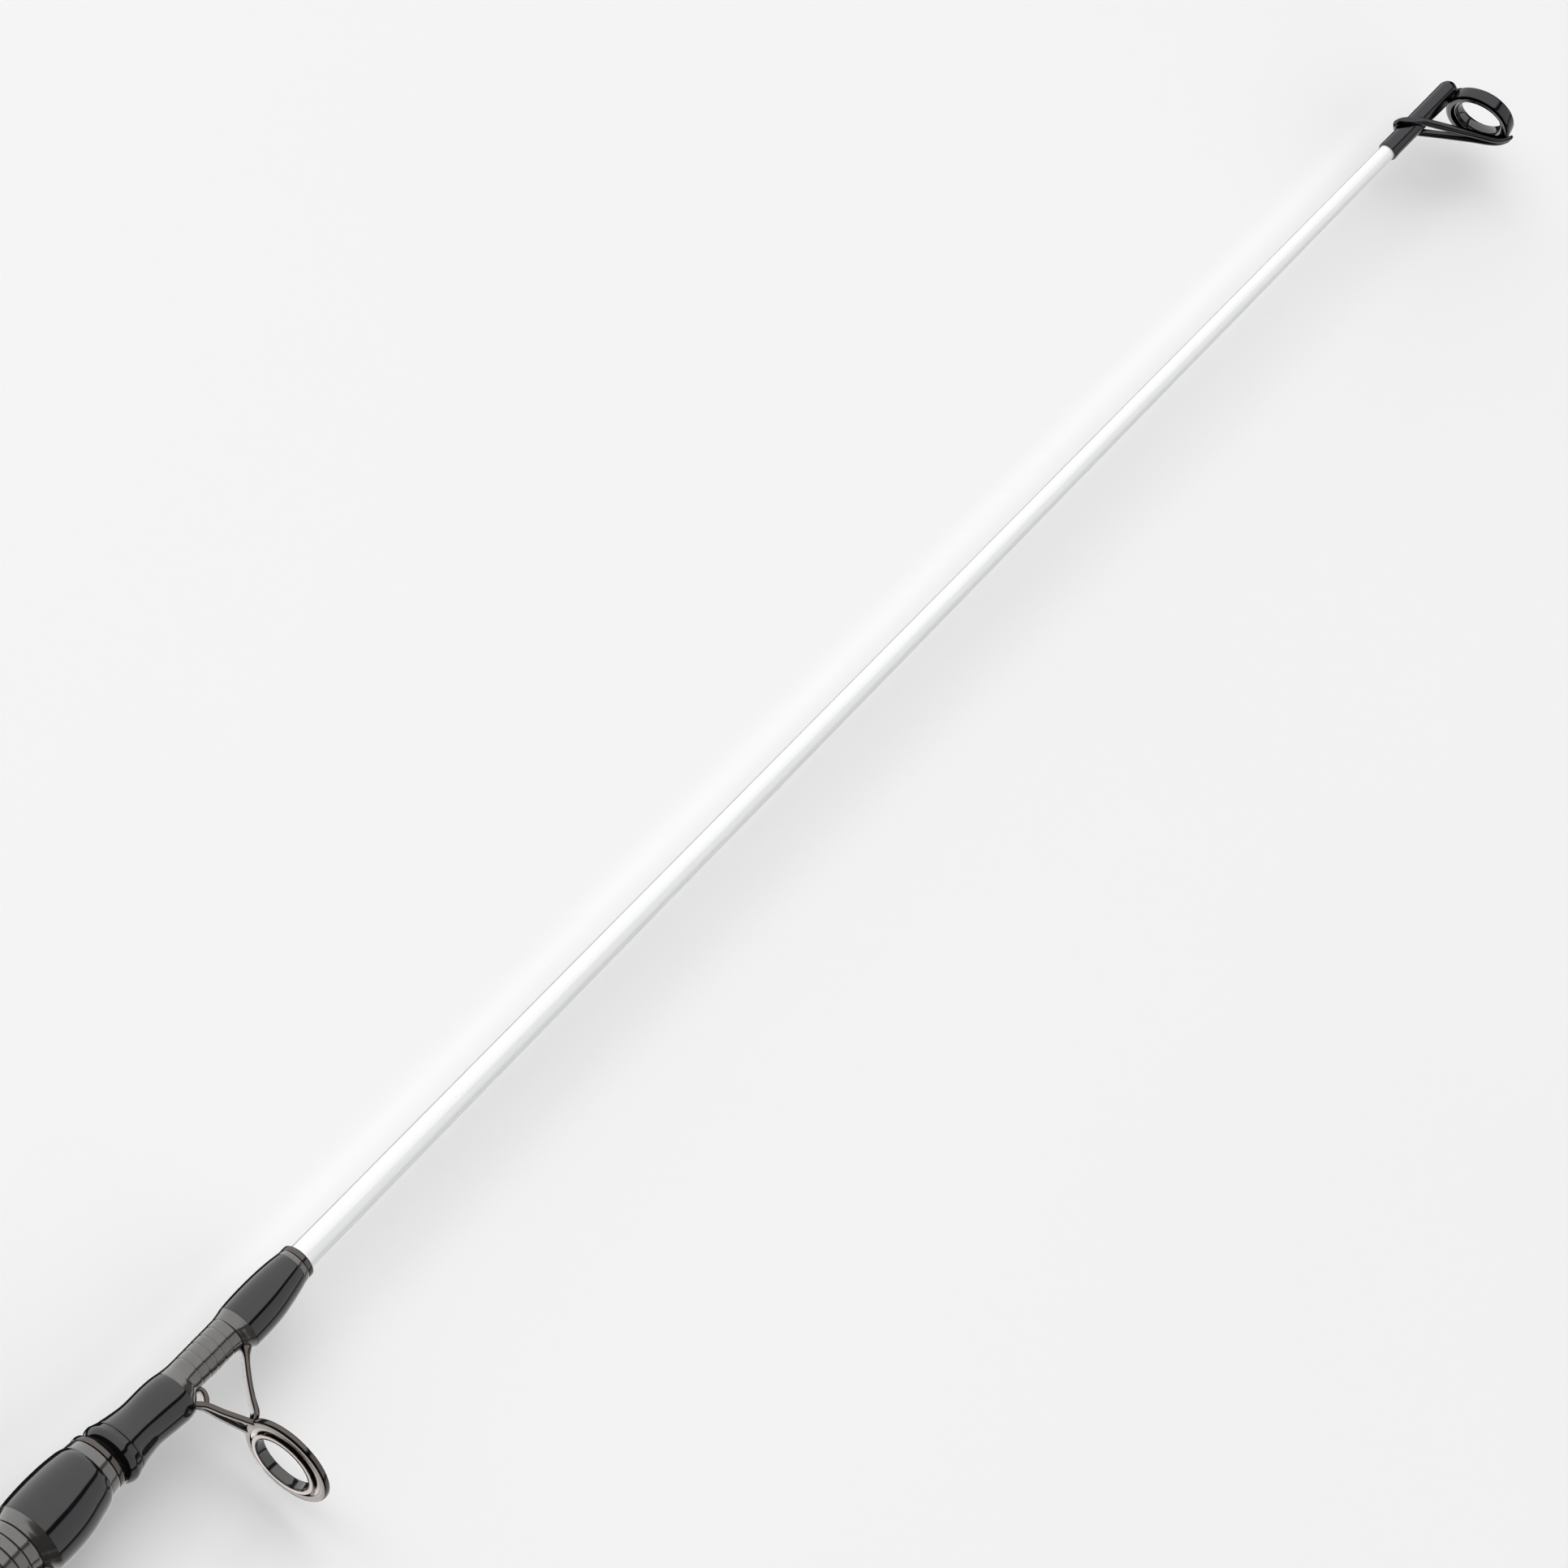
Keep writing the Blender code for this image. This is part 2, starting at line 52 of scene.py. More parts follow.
# Camera. A long lens looks down on the rod from its butt side, turned so that the rod runs from corner to
# corner and the ringed side lies to the lower right.
VIEW_TO_ROD = math.radians(61.6)
ROLL = math.radians(45.56)
LENS = 197.5                           # millimetres
BEHIND_RIM, ASIDE, ABOVE = 0.6458, 0.0024, 1.4583      # the camera from the upper section's mouth, in metres
upper_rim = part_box("upper_mouth_ring")[1].x
along_rod = Vector((math.sin(VIEW_TO_ROD), 0, math.cos(VIEW_TO_ROD)))
to_rings = Vector((0, -1, 0))
back = Vector((-math.cos(VIEW_TO_ROD), 0, math.sin(VIEW_TO_ROD)))
right = math.cos(ROLL) * along_rod + math.sin(ROLL) * to_rings
up = math.sin(ROLL) * along_rod - math.cos(ROLL) * to_rings
camera_data = bpy.data.cameras.new("camera")
camera_data.lens = LENS
camera_data.clip_start = 0.05
camera_data.clip_end = 50
camera = bpy.data.objects.new("camera", camera_data)
bpy.context.scene.collection.objects.link(camera)
camera_place = Matrix.Translation((upper_rim - BEHIND_RIM, -ASIDE, ABOVE))
camera.matrix_world = camera_place @ Matrix((right, up, back)).transposed().to_4x4()
bpy.context.scene.camera = camera

# Floor. A sheet of pale matt paper under the rod, smooth enough that only its shade shows.
FLOOR_DROP = 16.0 * MM


def srgb(code):
    """Linear colour of an sRGB hex code."""
    parts = [int(code[i:i + 2], 16) / 255 for i in (0, 2, 4)]
    return (*[p / 12.92 if p <= 0.04045 else ((p + 0.055) / 1.055) ** 2.4 for p in parts], 1.0)


def add(tree, kind, feeds=None, **settings):
    """Adds a node: settings are its own properties, feeds gives each input a value or an output."""
    made = tree.nodes.new(kind)
    for key, value in settings.items():
        setattr(made, key, value)
    for key, value in (feeds or {}).items():
        if isinstance(value, bpy.types.NodeSocket):
            tree.links.new(value, made.inputs[key])
        else:
            made.inputs[key].default_value = value
    return made


def finish_named(name, colour, roughness, **sockets):
    """A material with one Principled shader, and its node tree, shader and Object coordinates."""
    made = bpy.data.materials.new(name)
    made.use_nodes = True
    tree = made.node_tree
    shader = tree.nodes["Principled BSDF"]
    shader.inputs["Base Color"].default_value = srgb(colour)
    shader.inputs["Roughness"].default_value = roughness
    for key, value in sockets.items():
        shader.inputs[key.replace("_", " ")].default_value = value
    place = add(tree, "ShaderNodeTexCoord").outputs["Object"]
    return made, tree, shader, place


def matt_paper():
    """Matt photographic paper: even, faintly mottled, no gloss."""
    made, tree, shader, place = finish_named("matt paper", "F0F0F0", 0.95, Specular_IOR_Level=0.0)
    mottle = add(tree, "ShaderNodeTexNoise", {"Vector": place, "Scale": 9.0, "Detail": 3.0})
    tone = add(tree, "ShaderNodeMix", {"Factor": mottle.outputs["Fac"], 6: srgb("EFEFEF"), 7: srgb("F1F1F1")},
               data_type="RGBA")
    tree.links.new(tone.outputs[2], shader.inputs["Base Color"])
    return made


bm = bmesh.new()
bmesh.ops.create_grid(bm, x_segments=2, y_segments=2, size=6.0)
bmesh.ops.translate(bm, vec=(0, 0, -FLOOR_DROP), verts=bm.verts)
mesh = bpy.data.meshes.new("floor")
bm.to_mesh(mesh)
bm.free()
mesh.materials.append(matt_paper())
floor = bpy.data.objects.new("floor", mesh)
bpy.context.scene.collection.objects.link(floor)
floor.visible_glossy = False

# Light. A white tent over the left side and a softbox on the right leave a narrow dark gap above the rod,
# which gloss shows as a crisp dark streak between two pale bands. A low wall fills in from the ringed side,
# and a bright card low behind the butt shows in the flat faces of the guides. A large soft lamp casts the
# shade on the paper.

# Each row: degrees round the rod from straight up, degrees along it from square, edge softness, light.
PANELS = [
    (-130, 15, -17, 64, 2.0, 1.45),      # tent
    (28, 87, -17, 64, 2.0, 0.95),        # softbox
    (96, 185, -14, 95, 6.0, 0.70),       # wall on the ringed side
    (146, 190, -62, -12, 5.0, 2.4),      # card, right half
    (-190, -144, -62, 4, 5.0, 2.4),      # and its left half
]
DARK = 0.012                # light between the panels

world = bpy.data.worlds.new("studio")
bpy.context.scene.world = world
world.use_nodes = True
sky = world.node_tree
sky.nodes.clear()
toward = add(sky, "ShaderNodeSeparateXYZ", {"Vector": add(sky, "ShaderNodeTexCoord").outputs["Generated"]})
ringward = add(sky, "ShaderNodeMath", {0: toward.outputs["Y"], 1: -1.0}, operation="MULTIPLY")
around = add(sky, "ShaderNodeMath", {0: ringward.outputs[0], 1: toward.outputs["Z"]}, operation="ARCTAN2")
lengthwise = add(sky, "ShaderNodeMath", {0: toward.outputs["X"]}, operation="ARCSINE")
level = add(sky, "ShaderNodeMath", {0: DARK, 1: 0.0}, operation="ADD")
for first, last, near, far, edge, light in PANELS:
    inside = []
    for angle, start, way in ((around, first, 1), (around, last, -1), (lengthwise, near, 1),
                              (lengthwise, far, -1)):
        inside.append(add(sky, "ShaderNodeMapRange", {
            "Value": angle.outputs[0], "From Min": math.radians(start - way * edge),
            "From Max": math.radians(start + way * edge)}, interpolation_type="SMOOTHSTEP"))
    lit = inside[0]
    for mask in inside[1:]:
        lit = add(sky, "ShaderNodeMath", {0: lit.outputs[0], 1: mask.outputs[0]}, operation="MULTIPLY")
    level = add(sky, "ShaderNodeMath", {0: lit.outputs[0], 1: light, 2: level.outputs[0]},
                operation="MULTIPLY_ADD")
glow = add(sky, "ShaderNodeBackground", {"Color": srgb("FFFFFF"), "Strength": level.outputs[0]})
add(sky, "ShaderNodeOutputWorld", {"Surface": glow.outputs[0]})

key_data = bpy.data.lights.new("key", "AREA")
key_data.shape = "RECTANGLE"
key_data.size, key_data.size_y = 2.0, 2.0
key_data.energy = 22.0
key = bpy.data.objects.new("key", key_data)
bpy.context.scene.collection.objects.link(key)
key.location = (0.6, 1.15, 2.3)
key.rotation_euler = (Vector((0.8, 0, 0)) - key.location).to_track_quat("-Z", "Y").to_euler()
key.visible_glossy = False
bpy.context.scene.view_settings.view_transform = "Standard"

# White blanks. Tapered glass-fibre tubes and a solid glass tip under thick white gloss lacquer: very
# smooth, with the faintest orange peel in the shine and fine lengthwise grinding marks under the lacquer.
SEGMENTS, RING_SEGMENTS, FLUTED_SEGMENTS = 96, 128, 240        # round blanks, rings and fluted pieces
SHARP = math.radians(50)
blanks = {}


def white_lacquer():
    """White lacquer on glass fibre: thick wet gloss with faint orange peel, and grinding marks below."""
    made, tree, shader, place = finish_named("white gloss lacquer on glass fibre", "EFEFEF", 0.3, IOR=1.5,
                                             Coat_Weight=1.0, Coat_Roughness=0.04)
    grain = (0.12 / MM, 2.5 / MM, 2.5 / MM)
    stretch = add(tree, "ShaderNodeMapping", {"Vector": place, "Scale": grain})
    fibre = add(tree, "ShaderNodeTexNoise", {"Vector": stretch.outputs["Vector"], "Scale": 1.0,
                                             "Detail": 2.0})
    tint = add(tree, "ShaderNodeMix", {"Factor": fibre.outputs["Fac"], 6: srgb("EFEFEF"), 7: srgb("E9EAEA")},
               data_type="RGBA")
    tree.links.new(tint.outputs[2], shader.inputs["Base Color"])
    peel = add(tree, "ShaderNodeTexNoise", {"Vector": place, "Scale": 0.9 / MM, "Detail": 1.0})
    bump = add(tree, "ShaderNodeBump", {"Height": peel.outputs["Fac"], "Strength": 0.25,
                                        "Distance": 0.01 * MM})
    tree.links.new(bump.outputs["Normal"], shader.inputs["Coat Normal"])
    return made


def spun(outline, centre=0.0, segments=SEGMENTS):
    """Spins a closed outline of (x, back radius, ring-side radius), in metres, round an axis along X.

    The ring side swells out in an egg shape, as thread does over a guide foot.
    """
    bm = bmesh.new()
    station = bm.verts.layers.int.new("station")
    outline = [(p[0], p[1], p[-1]) for p in outline]
    chain = []
    for index, (x, back_radius, _) in enumerate(outline):
        vert = bm.verts.new((x, -back_radius, 0))
        vert[station] = index
        chain.append(vert)
    edges = [bm.edges.new(pair) for pair in zip(chain, chain[1:])]
    if outline[0][1] or outline[-1][1]:
        edges.append(bm.edges.new((chain[-1], chain[0])))
    bmesh.ops.spin(bm, geom=chain + edges, axis=(1, 0, 0), angle=math.tau, steps=segments, use_merge=True)
    for vert in bm.verts:
        _, back_radius, ring_radius = outline[vert[station]]
        if back_radius:
            turn = math.atan2(vert.co.z, -vert.co.y)
            swell = 1 + (ring_radius - back_radius) / back_radius * ((1 + math.cos(turn)) / 2) ** 2
            vert.co.y *= swell
            vert.co.z *= swell
    bmesh.ops.remove_doubles(bm, verts=bm.verts, dist=1e-7)
    bmesh.ops.translate(bm, vec=(0, -centre, 0), verts=bm.verts)
    bmesh.ops.recalc_face_normals(bm, faces=bm.faces)
    return bm


def soften(bm, width, segments=2):
    """Rounds every sharp edge, as deburring, plating or epoxy does."""
    edges = [e for e in bm.edges if len(e.link_faces) == 2 and e.calc_face_angle() > SHARP]
    bmesh.ops.bevel(bm, geom=edges, offset=width, segments=segments, profile=0.5, affect="EDGES", material=-1,
                    clamp_overlap=True)
    return bm


def show(name, bm, material, body, slot, *stands_for, sharp=40.0):
    """Makes the piece from its bmesh, gives it its finish, and sets it in place of its plain solid."""
    mesh = bpy.data.meshes.new(name)
    bm.to_mesh(mesh)
    bm.free()
    mesh.materials.append(material)
    mesh.shade_smooth()
    mesh.set_sharp_from_angle(angle=math.radians(sharp))
    made = bpy.data.objects.new(name, mesh)
    bpy.context.scene.collection.objects.link(made)
    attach(made, body)
    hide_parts(*stands_for)
    return made


def blank_radius(name, x):
    """Outer radius of a blank at a place along the rod."""
    base, base_radius, mouth, mouth_radius = blanks[name]
    return base_radius + (x - base) / (mouth - base) * (mouth_radius - base_radius)


WHITE = white_lacquer()
for name in ("butt", "middle", "upper"):
    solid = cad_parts[f"{name}_blank"].data
    low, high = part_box(f"{name}_blank")
    radii = {}
    for end in (low.x, high.x):
        ring = [math.hypot(v.co.y, v.co.z) for v in solid.vertices if abs(v.co.x - end) < 0.2 * MM]
        radii[end] = (min(ring), max(ring))
    blanks[name] = (low.x, radii[low.x][1], high.x, radii[high.x][1])
    outline = [(low.x, radii[low.x][0]), (low.x, radii[low.x][1]), (high.x, radii[high.x][1]),
               (high.x, radii[high.x][0])]
    show(f"{name}_blank_lacquered", soften(spun(outline), 0.15 * MM), WHITE, f"{name}_section", "white_blank",
         f"{name}_blank")

TIP_MOUTH, TIP_NECK, TIP_END = 2.73 * MM, 1.70 * MM, 1.62 * MM
low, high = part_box("tip_blank")
tip_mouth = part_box("tip_top_tube")[0].x
outline = [(low.x, 0), (low.x, high.z), (upper_rim, TIP_MOUTH), (tip_mouth, TIP_NECK), (high.x, TIP_END),
           (high.x, 0)]
show("tip_blank_lacquered", soften(spun(outline), 0.3 * MM), WHITE, "tip_section", "white_blank", "tip_blank")

# Thread wraps. Nylon thread is wound tight over each collar and the guide's feet, near-black with a grey
# neck and a grey trim band, then flooded with clear epoxy while the rod turns. The epoxy is the gloss; the
# thread lies under it.
FACETS = 20                    # sides of the plain solids
UPPER_RIM, UPPER_GUIDE, NECK_END = 3.6 * MM, 9.9 * MM, 36.3 * MM
THREAD = 0.28 * MM             # thread spacing, slightly coarser than real thread so that it shows
WAVE = 0.314                   # a wave texture's own spacing at scale 1
# Upper collar in millimetres: distance behind the rim, radius at the back, radius on the ring side over the
# feet.
TRIM_BAND = [(1.45, 3.58, 3.66), (2.62, 3.68, 3.84)]
FRONT_WRAP = [(2.66, 3.70, 3.86), (4.6, 3.95, 4.32), (7.2, 4.17, 4.84), (9.6, 4.27, 5.25),
              (12.5, 4.30, 5.52), (16.0, 4.22, 5.60), (18.25, 4.07, 5.54)]
NECK_WRAP = [(18.27, 4.05, 5.50), (19.6, 3.80, 4.70), (21.2, 3.64, 3.82), (27.0, 3.63, 3.72),
             (33.2, 3.64, 3.74), (35.0, 3.80, 5.00), (36.36, 4.00, 6.05)]
REAR_WRAP = [(36.4, 4.02, 6.10), (38.0, 4.28, 6.25), (40.5, 4.45, 6.05), (45.3, 4.50, 5.62)]
FLARE = [(48.2, 0.24, 0.18), (51.5, 0.63, 0.60)]           # share of the way out to the stop radius
STOP_LEAN = 0.4 * MM                                       # the stop swells more on the ring side
TAPER_END = [(49.0, 4.20, 4.40), (52.0, 3.72, 3.76)]       # the butt section's rear wrap just thins out
TIE_RINGS = [20.8, 22.95, 25.1, 27.25, 29.35, 31.5]        # where the neck's winding steps back on itself
TIE_DEPTH, TIE_WIDTH = 0.09, 0.15


def radius_of(node):
    """Outer radius of a plain turned solid, whose box only reaches the flats of its sides."""
    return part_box(node)[1].z / math.cos(math.pi / FACETS)


def measure_collar(name, settled=0.0, plump=0.0, trim=2.62):
    """Where a section's collar is and how large against the upper one.

    A settled collar hangs a little off centre, and a plump one carries more epoxy. Its trim band ends at trim.
    """
    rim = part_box(f"{name}_mouth_ring")[1].x
    ring = radius_of(f"{name}_guide_frame")
    reach = -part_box(f"{name}_guide_frame")[0].y - ring * math.cos(math.pi / FACETS)
    return SimpleNamespace(name=name, body=f"{name}_section", rim=rim, ring=ring, reach=reach,
                           size=ring / UPPER_GUIDE, grow=radius_of(f"{name}_mouth_ring") / UPPER_RIM,
                           settled=settled, along=(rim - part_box(f"{name}_neck_wrap")[0].x) / NECK_END,
                           plump=plump, trim=trim)


def curved(points, spacing):
    """A smooth line through the points, with a point about every spacing."""
    gaps = [math.dist(a, b) for a, b in zip(points, points[1:])]
    slopes = []
    for index in range(len(points)):
        before, after = max(index - 1, 0), min(index + 1, len(points) - 1)
        span = sum(gaps[before:after])
        slopes.append([(q - p) / span for p, q in zip(points[before], points[after])])
    fine = []
    for index, gap in enumerate(gaps):
        steps = max(2, math.ceil(gap / spacing))
        for step in range(steps):
            t = step / steps
            pull = (2 * t ** 3 - 3 * t ** 2 + 1, gap * (t ** 3 - 2 * t ** 2 + t), 3 * t ** 2 - 2 * t ** 3,
                    gap * (t ** 3 - t ** 2))
            ends = zip(points[index], slopes[index], points[index + 1], slopes[index + 1])
            fine.append([sum(p * e for p, e in zip(pull, four)) for four in ends])
    return fine + [list(points[-1])]


def collar_points(collar, stations):
    """Upper collar stations, grown to this collar's size and placed along the rod."""
    placed = []
    for behind, back_radius, ring_radius in stations:
        over = (ring_radius - back_radius) * collar.size
        radius = back_radius * collar.grow + collar.plump
        placed.append((collar.rim - behind * MM * collar.along, (radius + collar.settled) * MM,
                       (radius + over - collar.settled) * MM))
    return placed


def flare_points(collar, stations):
    """Stations on the flare, between the rear wrap's last radius and the stop radius."""
    _, back_radius, ring_radius = collar_points(collar, REAR_WRAP)[-1]
    stop = radius_of(f"{collar.name}_stop_collar")
    return [(collar.rim - behind * MM * collar.along, back_radius + b * (stop - STOP_LEAN - back_radius),
             ring_radius + r * (stop + STOP_LEAN - ring_radius)) for behind, b, r in stations]


def over_blank(collar, line):
    """Closes a line into an outline, down on the blank's own surface."""
    feet = [(x, blank_radius(collar.name, x) + 0.03 * MM) for x in (line[-1][0], line[0][0])]
    return [tuple(p) for p in line] + [(x, r, r) for x, r in feet]


def thread_under_epoxy(name, colour, light, dark, lustre):
    """Winding thread flooded with clear epoxy: fine dull ridges deep under a wet, slightly wavy shine."""
    made, tree, shader, place = finish_named(name, colour, 0.16, Specular_IOR_Level=lustre, Coat_Weight=1.0,
                                             Coat_Roughness=0.02, Coat_IOR=1.52)
    winding = add(tree, "ShaderNodeTexWave", {"Vector": place, "Scale": WAVE / THREAD}, wave_type="BANDS",
                  bands_direction="X", wave_profile="SIN")
    depth = add(tree, "ShaderNodeTexNoise", {"Vector": place, "Scale": 0.35 / MM, "Detail": 2.0})
    mottle = add(tree, "ShaderNodeMath", {0: winding.outputs["Fac"], 1: 0.45, 2: depth.outputs["Fac"]},
                 operation="MULTIPLY_ADD")
    tone = add(tree, "ShaderNodeMix", {"Factor": mottle.outputs[0], 6: srgb(dark), 7: srgb(light)},
               data_type="RGBA")
    # Painted shade: where the groove attribute is set, the thread colour is darkened towards near-black 0A0A0A,
    # standing in for the shade inside the neck's tie-ring grooves.
    painted_groove_shade = add(tree, "ShaderNodeAttribute", attribute_type="GEOMETRY", attribute_name="painted_groove_shade")
    tone_with_painted_groove_shade = add(tree, "ShaderNodeMix", {"Factor": painted_groove_shade.outputs["Fac"], 6: tone.outputs[2],
                                        7: srgb("0A0A0A")},
                data_type="RGBA")
    tree.links.new(tone_with_painted_groove_shade.outputs[2], shader.inputs["Base Color"])
    ridges = add(tree, "ShaderNodeBump", {"Height": winding.outputs["Fac"], "Strength": 0.3,
                                          "Distance": 0.01 * MM})
    tree.links.new(ridges.outputs["Normal"], shader.inputs["Normal"])
    wave = add(tree, "ShaderNodeTexNoise", {"Vector": place, "Scale": 0.4 / MM, "Detail": 1.0})
    both = add(tree, "ShaderNodeMath", {0: winding.outputs["Fac"], 1: 0.01, 2: wave.outputs["Fac"]},
               operation="MULTIPLY_ADD")
    flow = add(tree, "ShaderNodeBump", {"Height": both.outputs[0], "Strength": 0.4, "Distance": 0.02 * MM})
    tree.links.new(flow.outputs["Normal"], shader.inputs["Coat Normal"])
    return made


DARK_THREAD = thread_under_epoxy("near-black thread under epoxy", "0C0C0F", "111116", "08080A", 0.1)
GREY_THREAD = thread_under_epoxy("grey metallic thread under epoxy", "34322F", "3E3B38", "292724", 0.85)
collars = [measure_collar("butt"), measure_collar("middle", settled=0.35, plump=0.22, trim=3.4),
           measure_collar("upper")]
for collar in collars:
    band = [TRIM_BAND[0], (collar.trim, *TRIM_BAND[1][1:])]
    front = [(collar.trim + 0.04, *FRONT_WRAP[0][1:]), *FRONT_WRAP[1:]]
    parts = {"trim_band": (band, GREY_THREAD, "grey_thread"),
             "front_wrap": (front, DARK_THREAD, "dark_thread")}
    for part, (stations, thread, slot) in parts.items():
        line = curved(collar_points(collar, stations), 0.5 * MM)
        show(f"{collar.name}_{part}_bound", soften(spun(over_blank(collar, line)), 0.05 * MM), thread,
             collar.body, slot, f"{collar.name}_{part}")

    line = curved(collar_points(collar, NECK_WRAP), 0.1 * MM)
    dips = []
    for point in line:
        behind = (collar.rim - point[0]) / MM / collar.along
        dip = sum(math.exp(-((behind - tie) / TIE_WIDTH) ** 2) for tie in TIE_RINGS)
        point[1] -= dip * TIE_DEPTH * MM * collar.grow
        point[2] -= dip * TIE_DEPTH * MM * collar.grow
        dips.append(dip)
    bm = spun(over_blank(collar, line))
    # Each vertex stores how deep it sits in a tie-ring groove; the thread material turns this into painted shade
    # in the grooves.
    station, painted_groove_shade = bm.verts.layers.int["station"], bm.verts.layers.float.new("painted_groove_shade")
    for vert in bm.verts:
        vert[painted_groove_shade] = min(1.0, 1.3 * dips[vert[station]] ** 2) if vert[station] < len(dips) else 0.0
    show(f"{collar.name}_neck_wrap_bound", bm, GREY_THREAD, collar.body, "grey_thread",
         f"{collar.name}_neck_wrap")

    points = collar_points(collar, REAR_WRAP)
    points += collar_points(collar, TAPER_END) if collar.name == "butt" else flare_points(collar, FLARE)
    bm = soften(spun(over_blank(collar, curved(points, 0.5 * MM))), 0.05 * MM)
    show(f"{collar.name}_rear_wrap_bound", bm, DARK_THREAD, collar.body, "dark_thread",
         f"{collar.name}_rear_wrap")

# Mouth rings. A thin steel ring, plated gunmetal, is glued round the mouth of each hollow section so that
# the fibre edge can't split; its lip is rolled over the end of the blank.
MOUTH_RING = [(0.0, 3.38), (0.16, 3.56), (0.42, 3.63), (1.05, 3.64), (1.3, 3.60), (1.42, 3.50)]


def plated_steel(name, colour, smooth, rough):
    """Polished plating over steel: a dark mirror with fine rubbing marks and slightly worn polish."""
    made, tree, shader, place = finish_named(name, colour, smooth, Metallic=1.0)
    rub = add(tree, "ShaderNodeMapping", {"Vector": place, "Scale": (3.0 / MM, 0.5 / MM, 0.5 / MM)})
    marks = add(tree, "ShaderNodeTexNoise", {"Vector": rub.outputs["Vector"], "Scale": 1.0, "Detail": 4.0})
    polish = add(tree, "ShaderNodeMapRange", {"Value": marks.outputs["Fac"], "From Min": 0.3, "From Max": 0.7,
                                              "To Min": smooth, "To Max": rough})
    tree.links.new(polish.outputs["Result"], shader.inputs["Roughness"])
    bump = add(tree, "ShaderNodeBump", {"Height": marks.outputs["Fac"], "Strength": 0.15,
                                        "Distance": 0.01 * MM})
    tree.links.new(bump.outputs["Normal"], shader.inputs["Normal"])
    return made


GUNMETAL = plated_steel("gunmetal plating on steel", "57524F", 0.10, 0.18)
for collar in collars:
    line = [(collar.rim - behind * MM * collar.along,
             (radius * collar.grow + collar.plump + collar.settled) * MM,
             (radius * collar.grow + collar.plump - collar.settled) * MM) for behind, radius in MOUTH_RING]
    show(f"{collar.name}_mouth_ring_rolled", spun(over_blank(collar, line)), GUNMETAL, collar.body,
         "gunmetal", f"{collar.name}_mouth_ring")

# Stop ends. The flared end of each sliding section's collar is built up in black epoxy over cord, turned
# round and polished; it rests on the mouth of the section below.
STOP_END = [(51.53, 0.635, 0.605), (52.4, 0.82, 0.80), (53.1, 0.97, 0.96), (53.6, 1.0, 1.0),
            (54.2, 0.92, 0.91), (54.8, 0.74, 0.73), (55.3, 0.50, 0.48), (55.6, 0.28, 0.26)]


def black_epoxy():
    """Polished black epoxy: deep, wet and even, with a slow wave left by hand sanding."""
    made, tree, shader, place = finish_named("polished black epoxy", "0B0B0C", 0.04, IOR=1.55)
    wave = add(tree, "ShaderNodeTexNoise", {"Vector": place, "Scale": 0.25 / MM, "Detail": 1.0})
    tone = add(tree, "ShaderNodeMix", {"Factor": wave.outputs["Fac"], 6: srgb("09090A"), 7: srgb("0E0E0F")},
               data_type="RGBA")
    tree.links.new(tone.outputs[2], shader.inputs["Base Color"])
    bump = add(tree, "ShaderNodeBump", {"Height": wave.outputs["Fac"], "Strength": 0.4,
                                        "Distance": 0.03 * MM})
    tree.links.new(bump.outputs["Normal"], shader.inputs["Normal"])
    return made


BLACK_EPOXY = black_epoxy()
for collar in collars[1:]:
    line = curved(flare_points(collar, STOP_END), 0.25 * MM)
    show(f"{collar.name}_stop_end_polished", soften(spun(over_blank(collar, line)), 0.15 * MM), BLACK_EPOXY,
         collar.body, "gloss_black", f"{collar.name}_stop_collar")

# Guide frames. Each is stamped from steel strip, its ring drawn round and its three legs bent and plated
# gunmetal; the feet lie under the thread. The front leg is a flat strip, and two narrow legs brace the ring
# from behind.
# Upper guide in millimetres: strip thickness, foot width, rear legs; distances are behind the rim.
STRIP, FOOT_WIDTH, LEG = 0.9, 2.1, (1.35, 1.15)
RING_FACE, RING_DEPTH, RING_STATION = 29.8, 1.2, 30.4
FRONT_FOOT, REAR_FOOT = (14.0, 18.6), (42.0, 37.2)
# Behind the rim, share of the way out to the ring, width, thickness.
FRONT_LEG = [(20.2, 0.05, 2.9, 1.9), (21.7, 0.19, 2.5, 1.15), (24.1, 0.45, 2.5, 1.0), (26.4, 0.74, 2.6, 1.0),
             (28.2, 0.98, 3.6, 1.15)]
REAR_SADDLE = [(35.6, 0.07, 2.1, 0.95), (34.1, 0.25, 2.3, 1.0)]
# The strip curls forward under the saddle before it turns out.
REAR_HEEL = [(34.2, -0.08, 1.9, 0.8), (32.6, -0.04, 2.0, 0.9), (32.4, 0.06, 2.1, 0.95),
             (33.0, 0.17, 2.2, 1.0), (34.0, 0.26, 2.2, 1.0)]
# Behind the rim, share of the way out, distance aside in ring radii.
REAR_LEG = [(32.9, 0.56, 0.125), (31.5, 0.88, 0.185)]
LEG_SPREAD = math.radians(14)


